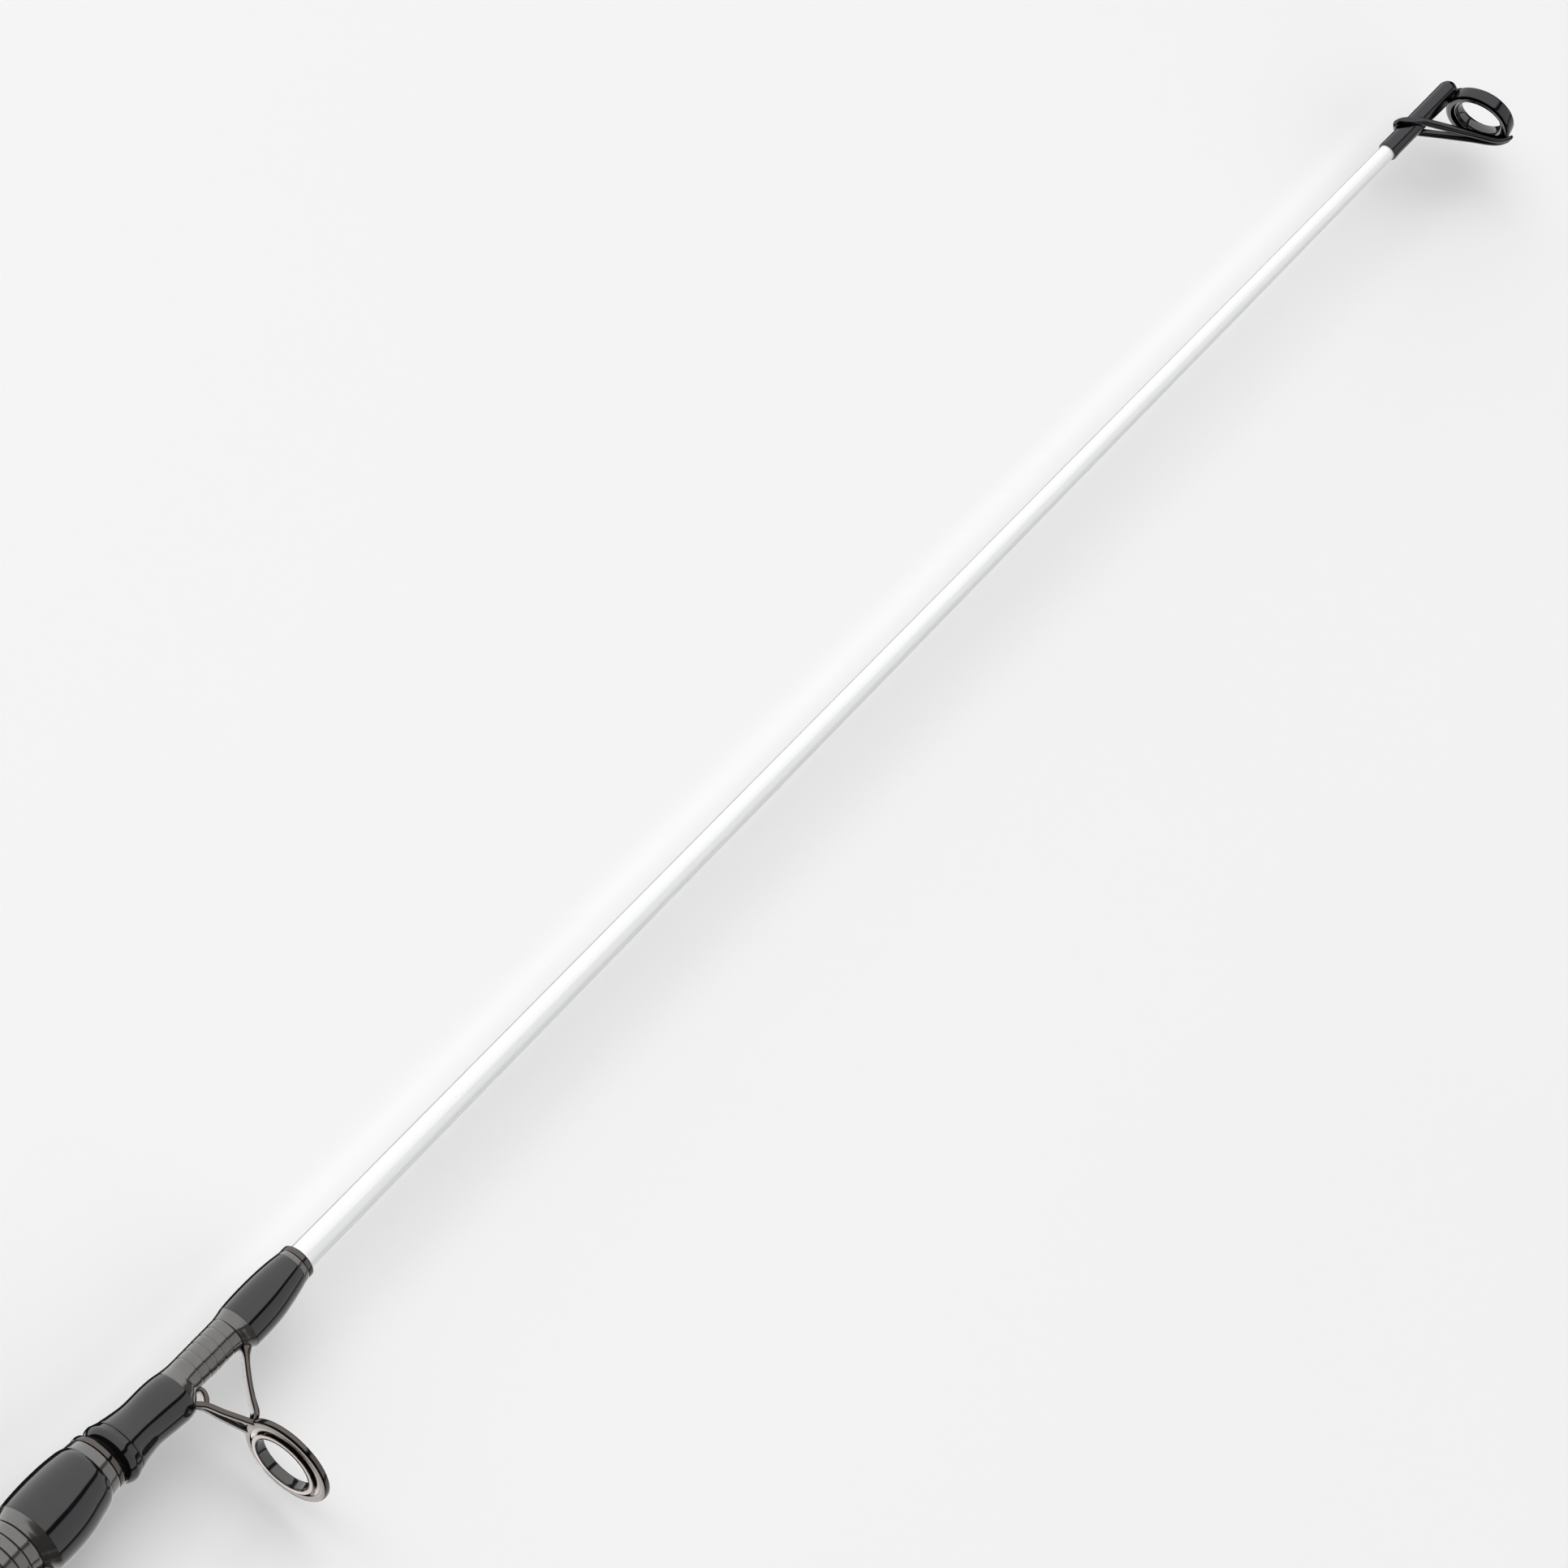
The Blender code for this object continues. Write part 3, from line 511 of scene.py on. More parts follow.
def drawn(path, side=(0, 0, 1), sides=20, corner=0.45):
    """A bar with rounded edges along a path of (x, y, z, width, thickness), its width lying towards side."""
    bm = bmesh.new()
    across = bm.verts.layers.float.new("across")
    through = bm.verts.layers.float.new("through")
    bmesh.ops.create_circle(bm, cap_ends=True, segments=sides, radius=1.0)
    for vert in bm.verts:
        vert[across] = math.copysign(abs(vert.co.x) ** corner, vert.co.x) / 2
        vert[through] = math.copysign(abs(vert.co.y) ** corner, vert.co.y) / 2
    points = [Vector(p[:3]) for p in path]

    def place(verts, index):
        tangent = (points[min(index + 1, len(points) - 1)] - points[max(index - 1, 0)]).normalized()
        over = (Vector(side) - tangent * tangent.dot(side)).normalized()
        for vert in verts:
            vert.co = points[index] + over * vert[across] * path[index][3]
            vert.co += tangent.cross(over) * vert[through] * path[index][4]

    end = bm.faces[:][0]
    place(end.verts, 0)
    for index in range(1, len(points)):
        grown = bmesh.ops.extrude_face_region(bm, geom=[end])
        if index > 1:
            bmesh.ops.delete(bm, geom=[end], context="FACES_ONLY")
        end = next(item for item in grown["geom"] if isinstance(item, bmesh.types.BMFace))
        place(end.verts, index)
    bmesh.ops.recalc_face_normals(bm, faces=bm.faces)
    return bm


def joined(first, *others):
    """One bmesh of several, which are welded or pressed together on the real piece."""
    for other in others:
        spare = bpy.data.meshes.new("spare")
        other.to_mesh(spare)
        other.free()
        first.from_mesh(spare)
        bpy.data.meshes.remove(spare)
    return first


def arc(centre_x, centre_radius, radius, start, end, steps=6):
    """Points on a round edge of an outline, by angle from straight out, in degrees towards the tip."""
    turns = [math.radians(start + (end - start) * step / steps) for step in range(steps + 1)]
    return [(centre_x + radius * math.sin(t), centre_radius + radius * math.cos(t)) for t in turns]


for collar in collars:
    size = collar.size * MM
    face = collar.rim - RING_FACE * MM * collar.along
    butt_face = face - RING_DEPTH * size
    top = collar.reach - collar.ring
    outer = collar.ring
    rim = [(face + 0.15 * size, outer - 1.6 * size)]
    rim += arc(face - 0.25 * size, outer - 0.4 * size, 0.4 * size, 90, 0)
    rim += arc(butt_face + 0.62 * size, outer - 0.75 * size, 0.75 * size, 0, -56)
    rim += [(butt_face, outer - 0.85 * size), (butt_face, outer - 1.6 * size)]
    flange = spun(rim, centre=collar.reach, segments=RING_SEGMENTS)

    heights = [blank_radius(collar.name, collar.rim - feet[0] * MM * collar.along) + 0.15 * MM + STRIP / 2 * size
               for feet in (FRONT_FOOT, REAR_FOOT)]

    def point(behind, height, z=0.0, width=FOOT_WIDTH, thickness=STRIP):
        return (collar.rim - behind * MM * collar.along, -height, z, width * size, thickness * size)

    front = [point(behind, heights[0]) for behind in FRONT_FOOT]
    front += [point(b, heights[0] + share * (top - heights[0]), 0, w, t) for b, share, w, t in FRONT_LEG]
    front.append(point(RING_STATION - 0.2, top + 0.8 * size, 0, 5.6, 1.2))
    rear = [point(behind, heights[1]) for behind in REAR_FOOT]
    rear += [point(b, heights[1] + share * (top - heights[1]), 0, w, t) for b, share, w, t in REAR_SADDLE]
    heel = [point(b, heights[1] + share * (top - heights[1]), 0, w, t) for b, share, w, t in REAR_HEEL]
    legs = []
    middle = collar.ring - 0.8 * size
    for hand in (1, -1):
        leg = [point(REAR_SADDLE[0][0] - 0.3, -rear[-2][1] + 0.4 * size, hand * 0.5 * size, *LEG),
               point(REAR_SADDLE[1][0], -rear[-1][1], hand * 0.72 * size, *LEG)]
        leg += [point(b, heights[1] + share * (top - heights[1]), hand * z * collar.ring, *LEG)
                for b, share, z in REAR_LEG]
        leg.append(point(RING_STATION + 0.1, collar.reach - middle * math.cos(LEG_SPREAD),
                         hand * middle * math.sin(LEG_SPREAD), *LEG))
        legs.append(leg)
    limbs = [drawn(curved(path, 0.5 * MM)) for path in (front, rear, heel, *legs)]
    show(f"{collar.name}_guide_frame_plated", joined(flange, *limbs), GUNMETAL, collar.body, "gunmetal",
         f"{collar.name}_guide_frame")

# Guide bezels. A turned ring, plated black nickel and polished, is pressed into each frame and holds the
# ceramic: a hollow cone that leads up to a narrow flat lip.
LIP, CONE = (2.6, 3.45), 1.1                # inside the frame's outer radius
BEZEL_DEPTH = 1.85

BLACK_NICKEL = plated_steel("black nickel on brass", "7C736E", 0.06, 0.11)
for collar in collars:
    size = collar.size * MM
    face = collar.rim - RING_FACE * MM * collar.along
    butt_face, lip = face - RING_DEPTH * size, face - BEZEL_DEPTH * size
    cone_foot, lip_outer, lip_inner = (collar.ring - inside * size for inside in (CONE, *LIP))
    cone = curved([(butt_face - 0.02 * size, cone_foot), (butt_face + 0.12 * size, cone_foot - 0.5 * size),
                   (butt_face - 0.10 * size, lip_outer + 0.45 * size), (lip + 0.1 * size, lip_outer)],
                   0.15 * size)
    outline = [(face + 0.25 * size, lip_inner), (face + 0.25 * size, cone_foot - 0.6 * size),
               (face, cone_foot - 0.35 * size), (butt_face + 0.3 * size, cone_foot)]
    outline += [tuple(p) for p in cone]
    outline += arc(lip + 0.1 * size, lip_outer - 0.1 * size, 0.1 * size, -10, -90, 3)
    outline += [(lip, lip_inner + 0.08 * size), (lip + 0.08 * size, lip_inner)]
    show(f"{collar.name}_guide_bezel_polished", spun(outline, centre=collar.reach, segments=RING_SEGMENTS),
         BLACK_NICKEL, collar.body, "black_nickel", f"{collar.name}_guide_bezel")

# Ceramic rings. Sintered alumina, tumbled until it shines like glass so that the line runs over it without
# wear; its mouth is rounded on both sides, and it is glued into the bezel.
CERAMIC_WALL, CERAMIC_PROUD = (3.42, 3.70), (0.45, 1.95)


def polished_ceramic():
    """Sintered alumina: a hard, glassy, very dark shine with a faint cloudiness in the body."""
    made, tree, shader, place = finish_named("polished alumina", "1C1C1E", 0.05, IOR=1.77)
    cloud = add(tree, "ShaderNodeTexNoise", {"Vector": place, "Scale": 1.2 / MM, "Detail": 3.0})
    tone = add(tree, "ShaderNodeMix", {"Factor": cloud.outputs["Fac"], 6: srgb("161617"), 7: srgb("232325")},
               data_type="RGBA")
    tree.links.new(tone.outputs[2], shader.inputs["Base Color"])
    return made


CERAMIC = polished_ceramic()


def eye(front_x, back_x, seat, hole, round_over):
    """Outline of a ceramic ring with a rounded mouth at both ends."""
    outline = [(back_x + round_over, seat), (front_x - round_over, seat)]
    middle = (seat + hole) / 2
    outline += [(front_x - round_over * 0.3, seat - (seat - middle) * 0.4), (front_x, middle)]
    outline += [(front_x - round_over * 0.35, hole + (middle - hole) * 0.35), (front_x - round_over, hole)]
    outline += [(back_x + round_over, hole), (back_x + round_over * 0.35, hole + (middle - hole) * 0.35)]
    return outline + [(back_x, middle), (back_x + round_over * 0.3, seat - (seat - middle) * 0.4)]


for collar in collars:
    size = collar.size * MM
    face = collar.rim - RING_FACE * MM * collar.along
    seat, hole = (collar.ring - inside * size for inside in CERAMIC_WALL)
    outline = eye(face + CERAMIC_PROUD[0] * size, face - CERAMIC_PROUD[1] * size, seat, hole, 0.3 * size)
    show(f"{collar.name}_guide_ring_ceramic", spun(outline, centre=collar.reach, segments=RING_SEGMENTS),
         CERAMIC, collar.body, "ceramic", f"{collar.name}_guide_insert")

# Tip-top. A drawn steel tube closed in a dome, a ring welded to its end, and a flat wire that is bent round
# the tube and runs out to brace the ring's far edge; all plated in one piece, with a ceramic eye.
# In millimetres: tube radius and bore, how far the blank goes in, and the length of the dome.
TUBE, TUBE_BORE, BLANK_IN_TUBE, DOME = 2.05, 1.74, 14.3, 2.3
# Ring and ceramic eye: outer radius, hole, and their two ends from the centre.
TOP_RING, TOP_EYE = (7.15, 5.84, (-1.75, 1.6)), (5.8, 4.8, (-1.0, 2.0))
TOP_CENTRE, TOP_LEAN = (21.6, 8.4), math.radians(11.5)       # from the tube's mouth
TOP_ROUND = 0.75
# Where the wire lies on the tube, how far its bend goes along it, and the width of the wire.
HEEL, WRAP, WIRE = 6.0, 2.3, 1.45
MOUTH_LIP = 0.8               # the tube's mouth is flared a little over the blank

BLACK_CHROME = plated_steel("black chrome on steel", "403F41", 0.10, 0.18)
tube_low, tube_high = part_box("tip_top_tube")
mouth = tube_low.x
dome = [(tube_high.x - DOME * MM * (1 - math.sin(t)), TUBE * MM * math.cos(t))
        for t in (math.pi / 2 * step / 10 for step in range(10))]
lip = mouth - MOUTH_LIP * MM
outline = [(mouth + BLANK_IN_TUBE * MM, 0), (mouth + BLANK_IN_TUBE * MM, TUBE_BORE * MM),
           (lip, TUBE_BORE * MM)]
outline += [(lip, (TUBE + 0.05) * MM), (mouth, (TUBE + 0.05) * MM), (mouth + MM, TUBE * MM)]
outline += [*dome, (tube_high.x, 0)]
show("tip_top_tube_drawn", soften(spun(outline), 0.12 * MM), BLACK_CHROME, "tip_section", "gunmetal",
     "tip_top_tube")

leaning = Matrix.Translation((mouth + TOP_CENTRE[0] * MM, -TOP_CENTRE[1] * MM, 0))
leaning = leaning @ Matrix.Rotation(TOP_LEAN, 4, "Z")
radius, hole, ends = TOP_RING
rim = [(ends[1], hole), *arc(ends[1] - TOP_ROUND, radius - TOP_ROUND, TOP_ROUND, 90, 0),
       *arc(ends[0] + TOP_ROUND, radius - TOP_ROUND, TOP_ROUND, 0, -90), (ends[0], hole)]
ring = spun([(x * MM, r * MM) for x, r in rim], segments=RING_SEGMENTS)
bmesh.ops.transform(ring, matrix=leaning, verts=ring.verts)
weld = drawn([(mouth + x * MM, y * MM, 0, w * MM, t * MM) for x, y, w, t in
              ((18.2, -1.0, 2.0, 0.9), (19.6, -1.5, 2.7, 1.7), (21.2, -1.7, 2.8, 1.9),
               (22.6, -2.1, 2.0, 1.2))])
show("tip_top_ring_welded", joined(ring, weld), BLACK_CHROME, "tip_section", "gunmetal", "tip_top_ring")

seat, hole, ends = TOP_EYE
ring = spun([(x * MM, r * MM) for x, r in eye(ends[1], ends[0], seat, hole, 0.35)], segments=RING_SEGMENTS)
bmesh.ops.transform(ring, matrix=leaning, verts=ring.verts)
show("tip_top_eye_ceramic", ring, CERAMIC, "tip_section", "ceramic", "tip_top_insert")

far = leaning @ Vector(((TOP_RING[2][0] - 0.2) * MM, (0.2 - TOP_RING[0]) * MM, 0))
bend = (TUBE + WIRE / 2 - 0.1) * MM
heel = mouth + HEEL * MM
wires = []
for hand in (1, -1):
    path = [(heel + x * MM, -bend * math.cos(turn), hand * bend * math.sin(turn), WIRE * MM, 1.0 * MM)
            for x, turn in ((-0.3, math.pi), (-0.1, 2.7), (0.5, 2.3), (1.3, 1.9), (WRAP, 1.57))]
    path += [((1 - share) * (heel + WRAP * MM) + share * far.x, share * far.y, hand * z * MM, WIRE * MM,
              1.15 * MM)
             for share, z in ((0.12, 2.35), (0.35, 1.75), (0.65, 1.1), (0.92, 0.62))]
    path += [(far.x + 1.2 * MM, far.y - 0.3 * MM, hand * 0.5 * MM, 0.9 * MM, 1.1 * MM),
             (far.x + 2.2 * MM, far.y - 0.4 * MM, hand * 0.3 * MM, 0.5 * MM, 0.6 * MM)]
    wires.append(drawn(curved(path, 0.4 * MM), side=(1, 0.9, 0)))
show("tip_top_brace_bent", joined(*wires), BLACK_CHROME, "tip_section", "gunmetal", "tip_top_brace")

# Butt cap, gasket and bush. The moulded nylon cap is fluted for the fingers and screws into a brass bush
# glued in the butt, squeezing a rubber gasket against the ferrule.
CAP_PITCH, SPIGOT, BUSH_BORE = 3.0, 7.4, 7.7
CAP_HEAD = [(0.5, 6.0), (0.5, 9.5), (0.0, 9.8), (0.0, 13.4), (0.5, 14.4), (1.4, 15.0), (2.4, 15.2),
            (9.2, 15.2), (9.5, 14.9), (10.0, 14.9), (10.3, 15.2), (11.5, 15.2), (12.0, 14.7)]
FLUTES, FLUTE_DEPTH = 30, 0.045


def moulded_nylon():
    """Glass-filled nylon from an eroded mould: satin black with a fine, even grain."""
    made, tree, shader, place = finish_named("glass-filled nylon", "17181A", 0.38, IOR=1.53)
    grain = add(tree, "ShaderNodeTexNoise", {"Vector": place, "Scale": 2.2 / MM, "Detail": 3.0})
    tone = add(tree, "ShaderNodeMix", {"Factor": grain.outputs["Fac"], 6: srgb("131416"), 7: srgb("1D1E20")},
               data_type="RGBA")
    tree.links.new(tone.outputs[2], shader.inputs["Base Color"])
    satin = add(tree, "ShaderNodeMapRange", {"Value": grain.outputs["Fac"], "To Min": 0.32, "To Max": 0.46})
    tree.links.new(satin.outputs["Result"], shader.inputs["Roughness"])
    bump = add(tree, "ShaderNodeBump", {"Height": grain.outputs["Fac"], "Strength": 0.5,
                                        "Distance": 0.03 * MM})
    tree.links.new(bump.outputs["Normal"], shader.inputs["Normal"])
    return made


def black_rubber():
    """Moulded nitrile rubber: dull, slightly dusty black that catches only broad light."""
    made, tree, shader, place = finish_named("moulded nitrile rubber", "1B1B1C", 0.62, IOR=1.5)
    dust = add(tree, "ShaderNodeTexNoise", {"Vector": place, "Scale": 0.9 / MM, "Detail": 5.0})
    tone = add(tree, "ShaderNodeMix", {"Factor": dust.outputs["Fac"], 6: srgb("161617"), 7: srgb("232324")},
               data_type="RGBA")
    tree.links.new(tone.outputs[2], shader.inputs["Base Color"])
    bump = add(tree, "ShaderNodeBump", {"Height": dust.outputs["Fac"], "Strength": 0.4,
                                        "Distance": 0.03 * MM})
    tree.links.new(bump.outputs["Normal"], shader.inputs["Normal"])
    return made


def machined_brass():
    """Free-cutting brass straight from the lathe: warm, bright, with fine turning lines."""
    made, tree, shader, place = finish_named("machined brass", "C9A45C", 0.24, Metallic=1.0)
    lines = add(tree, "ShaderNodeTexWave", {"Vector": place, "Scale": WAVE / (0.3 * MM), "Distortion": 1.5},
                bands_direction="X")
    tone = add(tree, "ShaderNodeMix", {"Factor": lines.outputs["Fac"], 6: srgb("BE9850"), 7: srgb("D2AE68")},
               data_type="RGBA")
    tree.links.new(tone.outputs[2], shader.inputs["Base Color"])
    bump = add(tree, "ShaderNodeBump", {"Height": lines.outputs["Fac"], "Strength": 0.3,
                                        "Distance": 0.01 * MM})
    tree.links.new(bump.outputs["Normal"], shader.inputs["Normal"])
    return made


def threaded(start, end, crest, root, pitch):
    """Outline points of a screw thread, drawn as rings one pitch apart."""
    points = []
    count = int((end - start) / pitch)
    for turn in range(count):
        x = start + turn * pitch
        points += [(x, root), (x + pitch * 0.3, root), (x + pitch * 0.45, crest), (x + pitch * 0.85, crest)]
    return points + [(start + count * pitch, root), (end, root)]


def fluted(bm, count, depth, low_x, high_x, least):
    """Sinks finger flutes into the rim of a turned piece, fading out at both ends."""
    for vert in bm.verts:
        radius = math.hypot(vert.co.y, vert.co.z)
        if low_x <= vert.co.x <= high_x and radius > least:
            dip = max(0.0, math.cos(count * math.atan2(vert.co.z, vert.co.y))) ** 1.5
            vert.co.y *= 1 - depth * dip
            vert.co.z *= 1 - depth * dip
    return bm


def placed(node, line, way=1):
    """Outline points in millimetres, measured from a node's butt end, or from its tip end backwards."""
    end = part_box(node)[0 if way > 0 else 1].x
    return [(end + way * p[0] * MM, *[r * MM for r in p[1:]]) for p in line]


NYLON = moulded_nylon()
RUBBER = black_rubber()
spigot_end = (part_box("butt_cap")[1].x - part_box("butt_cap")[0].x) / MM
outline = [(0.5, 0.0)] + CAP_HEAD + [(12.0, SPIGOT - 0.7)]
outline += threaded(13.0, spigot_end - 1.4, SPIGOT, SPIGOT - 0.7, CAP_PITCH)
outline += [(spigot_end, SPIGOT - 1.4), (spigot_end, 0.0)]
bm = soften(spun(placed("butt_cap", outline), segments=FLUTED_SEGMENTS), 0.15 * MM)
fluted(bm, FLUTES, FLUTE_DEPTH, 2.0 * MM, 9.3 * MM, 14.0 * MM)
show("butt_cap_moulded", bm, NYLON, "butt_cap", "black_nylon", "butt_cap")

GASKET = [(0.0, 12.6), (0.3, 13.0), (1.15, 13.0), (1.45, 12.6), (1.45, BUSH_BORE), (0.0, BUSH_BORE)]
show("cap_gasket_moulded", soften(spun(placed("cap_gasket", GASKET)), 0.1 * MM), RUBBER, "cap_gasket",
     "black_rubber", "cap_gasket")

BUSH_LENGTH, BUSH = 21.8, 8.3
outline = [(0.0, BUSH), (BUSH_LENGTH, BUSH), (BUSH_LENGTH, BUSH_BORE + 0.2)]
outline += list(reversed(threaded(1.0, BUSH_LENGTH - 1.0, BUSH_BORE, BUSH_BORE + 0.3, CAP_PITCH)))
outline += [(0.0, BUSH_BORE + 0.2)]
show("butt_bush_threaded", spun(placed("butt_bush", outline)), machined_brass(), "butt_section", "brass",
     "butt_bush")

# Aluminium trim. The butt ferrule and the winding checks are turned from bar, anodised gunmetal and pushed
# on over the blank with glue, to hide the ends of the grips.
CHECKS = {                    # node: outline from its butt end, in millimetres
    "butt_ferrule": [(0.0, 14.5), (0.5, 15.2), (1.6, 15.2), (1.8, 14.9), (2.3, 14.9), (2.5, 15.2),
                     (5.8, 15.2)],
    "rear_winding_check": [(0.0, 12.2), (1.1, 12.25), (1.3, 11.95), (1.7, 11.95), (1.9, 12.2), (2.6, 12.05),
                           (3.7, 11.2)],
    "front_winding_check": [(0.0, 12.0), (0.4, 12.4), (1.5, 12.4), (1.7, 12.1), (2.1, 12.1), (2.3, 12.4),
                            (3.3, 12.4), (3.7, 12.1)],
    "foregrip_end_check": [(0.0, 10.0), (1.0, 10.0), (1.2, 9.75), (1.5, 9.75), (1.7, 9.95), (2.4, 9.6),
                           (3.3, 8.8)],
}


def anodised_aluminium():
    """Turned and anodised aluminium: soft metallic grey, with lathe rings that break up the shine."""
    made, tree, shader, place = finish_named("anodised aluminium", "66676B", 0.3, Metallic=1.0)
    lathe = add(tree, "ShaderNodeTexWave", {"Vector": place, "Scale": WAVE / (0.2 * MM), "Distortion": 2.0},
                bands_direction="X")
    sheen = add(tree, "ShaderNodeMapRange", {"Value": lathe.outputs["Fac"], "To Min": 0.26, "To Max": 0.36})
    tree.links.new(sheen.outputs["Result"], shader.inputs["Roughness"])
    cast = add(tree, "ShaderNodeTexNoise", {"Vector": place, "Scale": 0.3 / MM})
    tone = add(tree, "ShaderNodeMix", {"Factor": cast.outputs["Fac"], 6: srgb("606166"), 7: srgb("6C6D71")},
               data_type="RGBA")
    tree.links.new(tone.outputs[2], shader.inputs["Base Color"])
    bump = add(tree, "ShaderNodeBump", {"Height": lathe.outputs["Fac"], "Strength": 0.25,
                                        "Distance": 0.01 * MM})
    tree.links.new(bump.outputs["Normal"], shader.inputs["Normal"])
    return made


def on_butt(line):
    """Closes a placed line into an outline, down on the butt blank."""
    return line + [(x, blank_radius("butt", x) + 0.08 * MM) for x in (line[-1][0], line[0][0])]


ALUMINIUM = anodised_aluminium()
for node, line in CHECKS.items():
    show(f"{node}_turned", soften(spun(on_butt(placed(node, line))), 0.12 * MM), ALUMINIUM, "butt_section",
         "aluminium", node)

# Grips. Closed-cell EVA foam, turned and sanded to shape on a mandrel, then slid on with glue. The rear
# grip swells at the butt, and the foregrip is barrelled for the hand that holds the rod in front of the
# reel.
REAR_GRIP = [(0.0, 15.1), (0.5, 15.6), (1.4, 15.88), (3.0, 15.93), (60, 15.93), (105, 15.93), (130, 15.3),
             (155, 14.1), (170, 13.4), (177.5, 13.2), (179.2, 12.9), (180.0, 12.3)]
FOREGRIP = [(0.0, 12.1), (0.6, 12.6), (2.0, 13.1), (12, 13.8), (30, 14.2), (45, 14.0), (62, 12.9), (78, 11.5),
            (86.4, 10.9), (88.1, 10.6), (88.7, 10.2)]


def sanded_foam():
    """EVA foam sanded smooth: matt charcoal black with fine open cells and slightly paler rubbed patches."""
    made, tree, shader, place = finish_named("sanded EVA foam", "232427", 0.9, Specular_IOR_Level=0.3,
                                             Sheen_Weight=0.15, Sheen_Roughness=0.5)
    cells = add(tree, "ShaderNodeTexVoronoi", {"Vector": place, "Scale": 1.6 / MM})
    rubbed = add(tree, "ShaderNodeTexNoise", {"Vector": place, "Scale": 0.06 / MM, "Detail": 5.0})
    mixed = add(tree, "ShaderNodeMath", {0: cells.outputs["Distance"], 1: 0.5, 2: rubbed.outputs["Fac"]},
                operation="MULTIPLY_ADD")
    tone = add(tree, "ShaderNodeMapRange", {"Value": mixed.outputs[0], "From Min": 0.3, "From Max": 1.1})
    shade = add(tree, "ShaderNodeMix", {"Factor": tone.outputs["Result"], 6: srgb("1A1B1D"),
                                        7: srgb("2E2F33")},
                data_type="RGBA")
    tree.links.new(shade.outputs[2], shader.inputs["Base Color"])
    bump = add(tree, "ShaderNodeBump", {"Height": cells.outputs["Distance"], "Strength": 0.7,
                                        "Distance": 0.12 * MM})
    tree.links.new(bump.outputs["Normal"], shader.inputs["Normal"])
    return made


FOAM = sanded_foam()
for node, line in (("rear_grip", REAR_GRIP), ("foregrip", FOREGRIP)):
    outer = [tuple(p) for p in curved([(x, r, r) for x, r in placed(node, line)], 2.0 * MM)]
    show(f"{node}_sanded", spun(on_butt([(x, r) for x, r, _ in outer])), FOAM, "butt_section", "eva_foam",
         node)

# Reel seat. One nylon moulding with a coarse screw thread at the rear for the locking nut, a plain barrel
# in front, and a rubber bed with cross ribs let into its ringed side for the reel's foot.
SEAT, SEAT_BORE, SEAT_PITCH = 10.5, 8.95, 2.0
seat_low, seat_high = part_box("reel_seat_body")
bed_low, bed_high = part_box("reel_foot_bed")
thread_end = (bed_low.x - seat_low.x) / MM - 0.6
seat_length = (seat_high.x - seat_low.x) / MM
outline = [(0.0, SEAT - 0.5), (0.4, SEAT - 0.1)] + threaded(0.8, thread_end, SEAT, SEAT - 0.55, SEAT_PITCH)
outline += [(thread_end + 0.3, SEAT), (seat_length - 0.4, SEAT), (seat_length, SEAT - 0.4),
            (seat_length, SEAT_BORE), (0.0, SEAT_BORE)]
show("reel_seat_moulded", spun(placed("reel_seat_body", outline)), NYLON, "butt_section", "black_nylon",
     "reel_seat_body")

RIB, RIB_PITCH = 0.35 * MM, 2.4 * MM
bm = bmesh.new()
bmesh.ops.create_cube(bm, size=1.0)
pad_top = bed_low.y + RIB
pad_root = -(SEAT - 1.2) * MM
bmesh.ops.scale(bm, vec=(bed_high.x - bed_low.x, pad_root - pad_top, bed_high.z - bed_low.z), verts=bm.verts)
bmesh.ops.translate(bm, vec=((bed_low.x + bed_high.x) / 2, (pad_top + pad_root) / 2, 0), verts=bm.verts)
soften(bm, 0.5 * MM, segments=4)
ribs = []
for index in range(int((bed_high.x - bed_low.x) / RIB_PITCH) - 1):
    x = bed_low.x + (index + 1.2) * RIB_PITCH
    span = (bed_high.z - bed_low.z) / 2 - 0.6 * MM
    ribs.append(drawn([(x, pad_top + 0.05 * MM, -span, 1.1 * MM, 2 * RIB),
                       (x, pad_top + 0.05 * MM, span, 1.1 * MM, 2 * RIB)],
                      side=(1, 0, 0)))
show("reel_foot_bed_ribbed", joined(bm, *ribs), RUBBER, "butt_section", "black_rubber", "reel_foot_bed")

# Hoods. Two nylon hoods grip the ends of the reel's foot: one is fixed to the front of the seat, the other
# slides and is pushed home by the nut. Each is an egg-shaped sleeve with a thick rolled mouth.
HOOD_LINE = [(0.0, 12.0, 12.4), (0.7, 12.6, 13.6), (3.0, 12.8, 16.5), (5.5, 12.85, 18.6), (8.0, 12.8, 19.2),
             (14.0, 12.75, 19.1)]              # from the closed end: back radius, ring-side radius
HOOD_MOUTH = [(-1.9, 12.75, 19.05), (-1.3, 12.95, 19.2), (-0.5, 12.95, 19.2), (-0.1, 12.6, 18.8),
              (0.0, 11.7, 18.1)]
HOOD_SLEEVE, POCKET = 10.85, 17.2

for node, way, body in (("sliding_hood", 1, "sliding_hood"), ("fixed_hood", -1, "butt_section")):
    low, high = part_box(node)
    length = (high.x - low.x) / MM
    line = HOOD_LINE + [(length + x, b, r) for x, b, r in HOOD_MOUTH]
    line = [tuple(p) for p in curved(placed(node, line, way), 0.5 * MM)]
    pocket = [(length, HOOD_SLEEVE, POCKET), (6.8, HOOD_SLEEVE, POCKET - 0.2),
              (3.6, HOOD_SLEEVE, HOOD_SLEEVE), (0.0, HOOD_SLEEVE, HOOD_SLEEVE)]
    bm = spun(line + placed(node, pocket, way))
    show(f"{node}_moulded", bm, NYLON, body, "black_nylon", node)

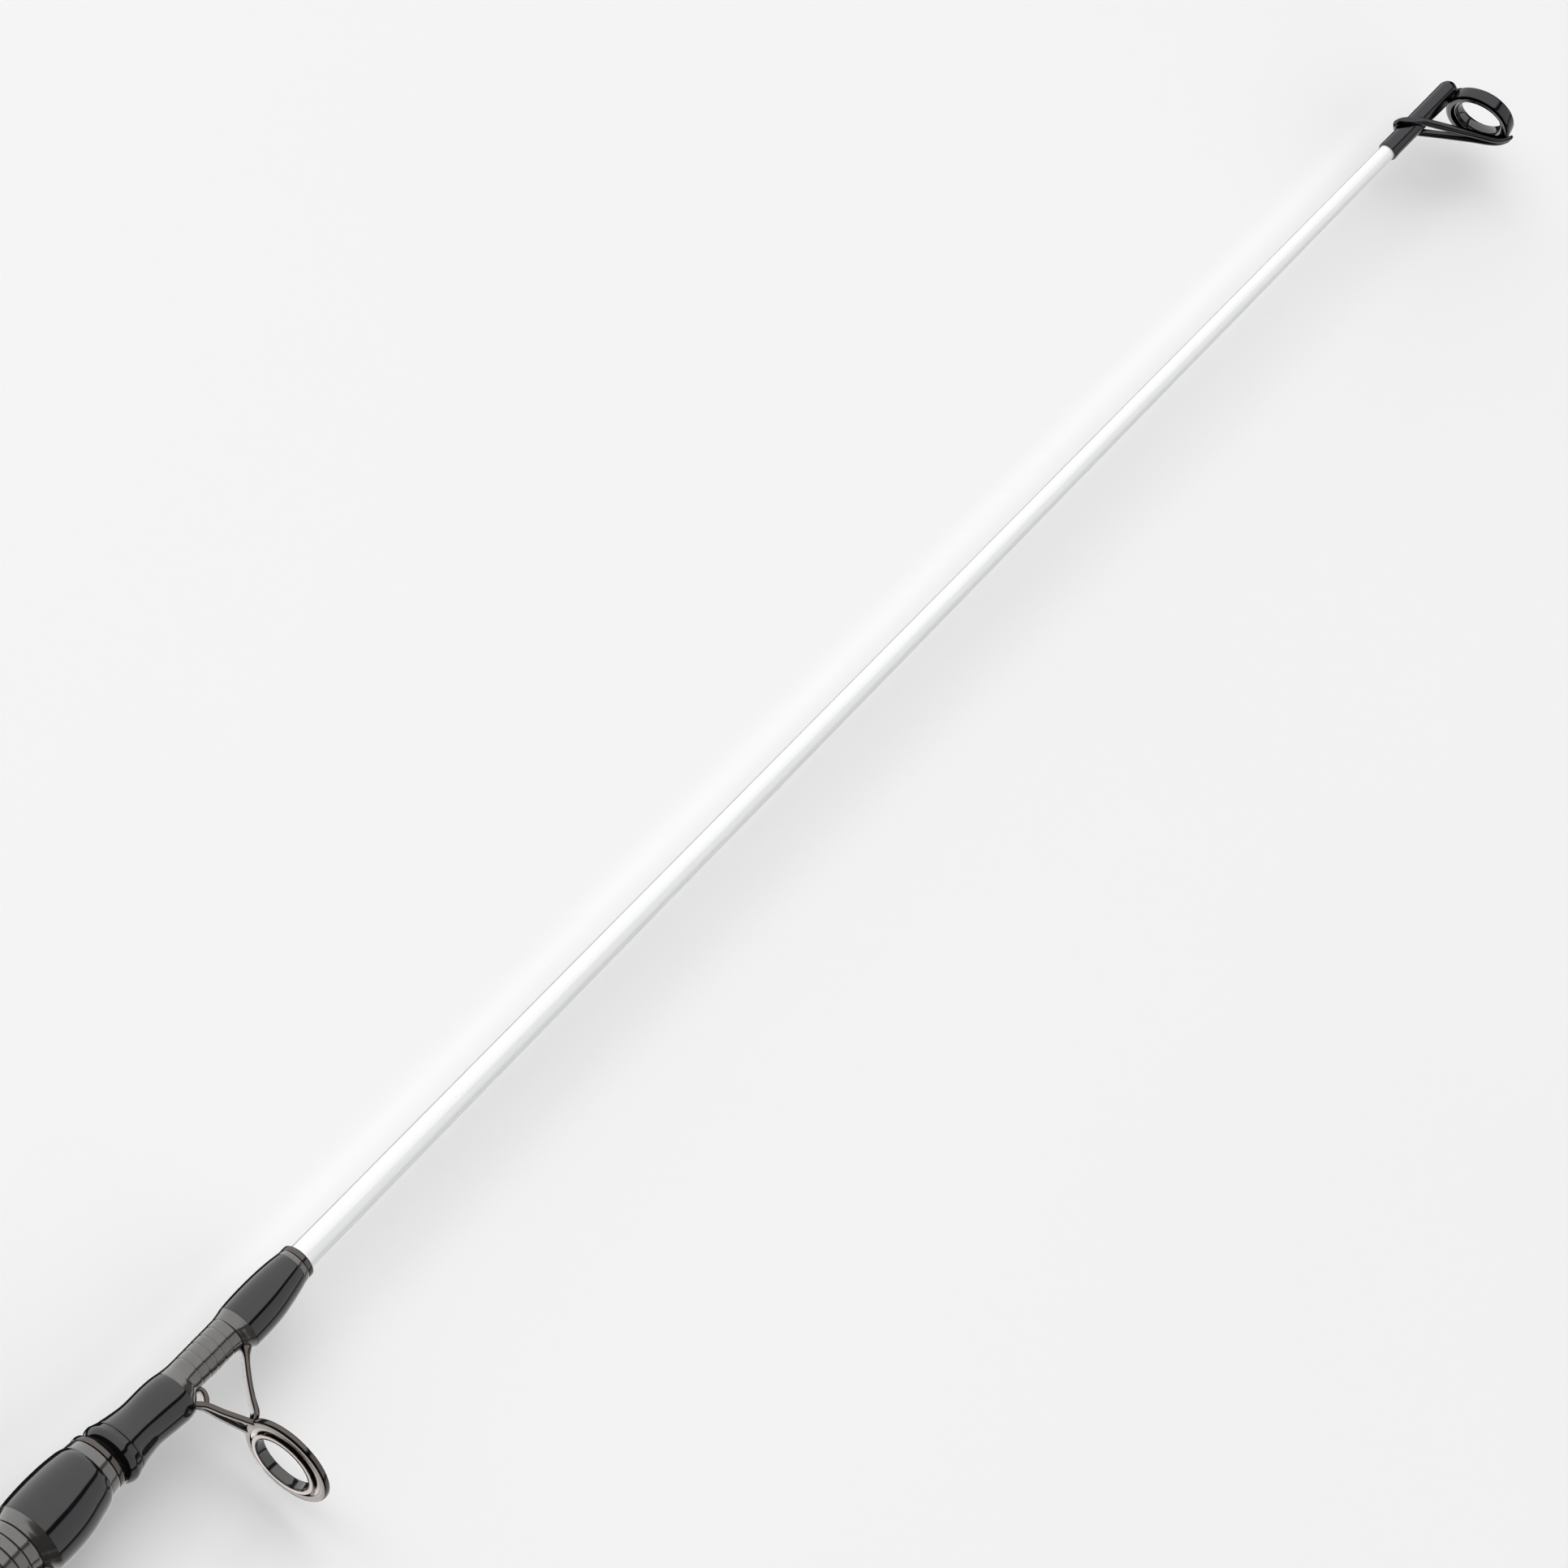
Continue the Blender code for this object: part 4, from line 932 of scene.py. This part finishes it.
# Locking nut. Turned from aluminium bar, milled with finger flutes and anodised; it runs on the seat's
# thread and carries the sliding hood.
NUT = [(0.0, 12.2), (0.5, 12.6), (1.2, 13.3), (1.7, 13.4), (2.4, 13.4), (6.0, 13.4), (10.0, 13.4),
       (14.4, 13.4), (15.2, 13.4), (15.5, 13.0), (16.2, 12.9), (16.6, 12.8), (17.0, 12.5)]
NUT_BORE, NUT_FLUTES, NUT_FLUTE_DEPTH = 10.85, 20, 0.055

outline = placed("locking_nut", NUT + [(17.0, NUT_BORE), (0.0, NUT_BORE)])
bm = soften(spun(outline, segments=FLUTED_SEGMENTS), 0.12 * MM)
nut_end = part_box("locking_nut")[0].x
fluted(bm, NUT_FLUTES, NUT_FLUTE_DEPTH, nut_end + 1.6 * MM, nut_end + 14.8 * MM, 13.0 * MM)
show("locking_nut_fluted", bm, ALUMINIUM, "locking_nut", "aluminium", "locking_nut")

# Hook keeper. A loop of plated spring wire whose two feet are bound to the butt blank with the same dark
# thread and epoxy as the guides.
KEEPER_WIRE, KEEPER_HEIGHT = 0.85, 5.2        # millimetres
# Along the rod from the middle, and share of the height.
LOOP = [(-9.5, 0), (-4.8, 0), (-3.9, 0.28), (-3.0, 0.75), (-1.3, 0.98), (1.3, 0.98), (3.0, 0.75), (3.9, 0.28),
        (4.8, 0), (9.5, 0)]
low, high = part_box("hook_keeper")
keeper = (low.x + high.x) / 2
foot = blank_radius("butt", keeper) + 0.6 * MM
path = [(keeper + x * MM, -foot - h * KEEPER_HEIGHT * MM, 0, KEEPER_WIRE * MM, KEEPER_WIRE * MM)
        for x, h in LOOP]
show("hook_keeper_bent", drawn(curved(path, 0.4 * MM), corner=1.0), GUNMETAL, "butt_section", "gunmetal",
     "hook_keeper")
for node in ("keeper_rear_wrap", "keeper_front_wrap"):
    low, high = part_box(node)
    bare = [blank_radius("butt", x) / MM for x in (low.x, high.x)]
    line = [(0.0, bare[0] + 0.10, bare[0] + 0.5), (0.5, bare[0] + 0.30, bare[0] + 1.3),
            (5.0, bare[1] + 0.30, bare[1] + 1.3), (5.5, bare[1] + 0.10, bare[1] + 0.5)]
    line = [tuple(p) for p in curved(placed(node, line), 0.2 * MM)]
    feet = [(x, blank_radius("butt", x) + 0.03 * MM) for x in (line[-1][0], line[0][0])]
    show(f"{node}_bound", spun(line + feet), DARK_THREAD, "butt_section", "dark_thread", node)
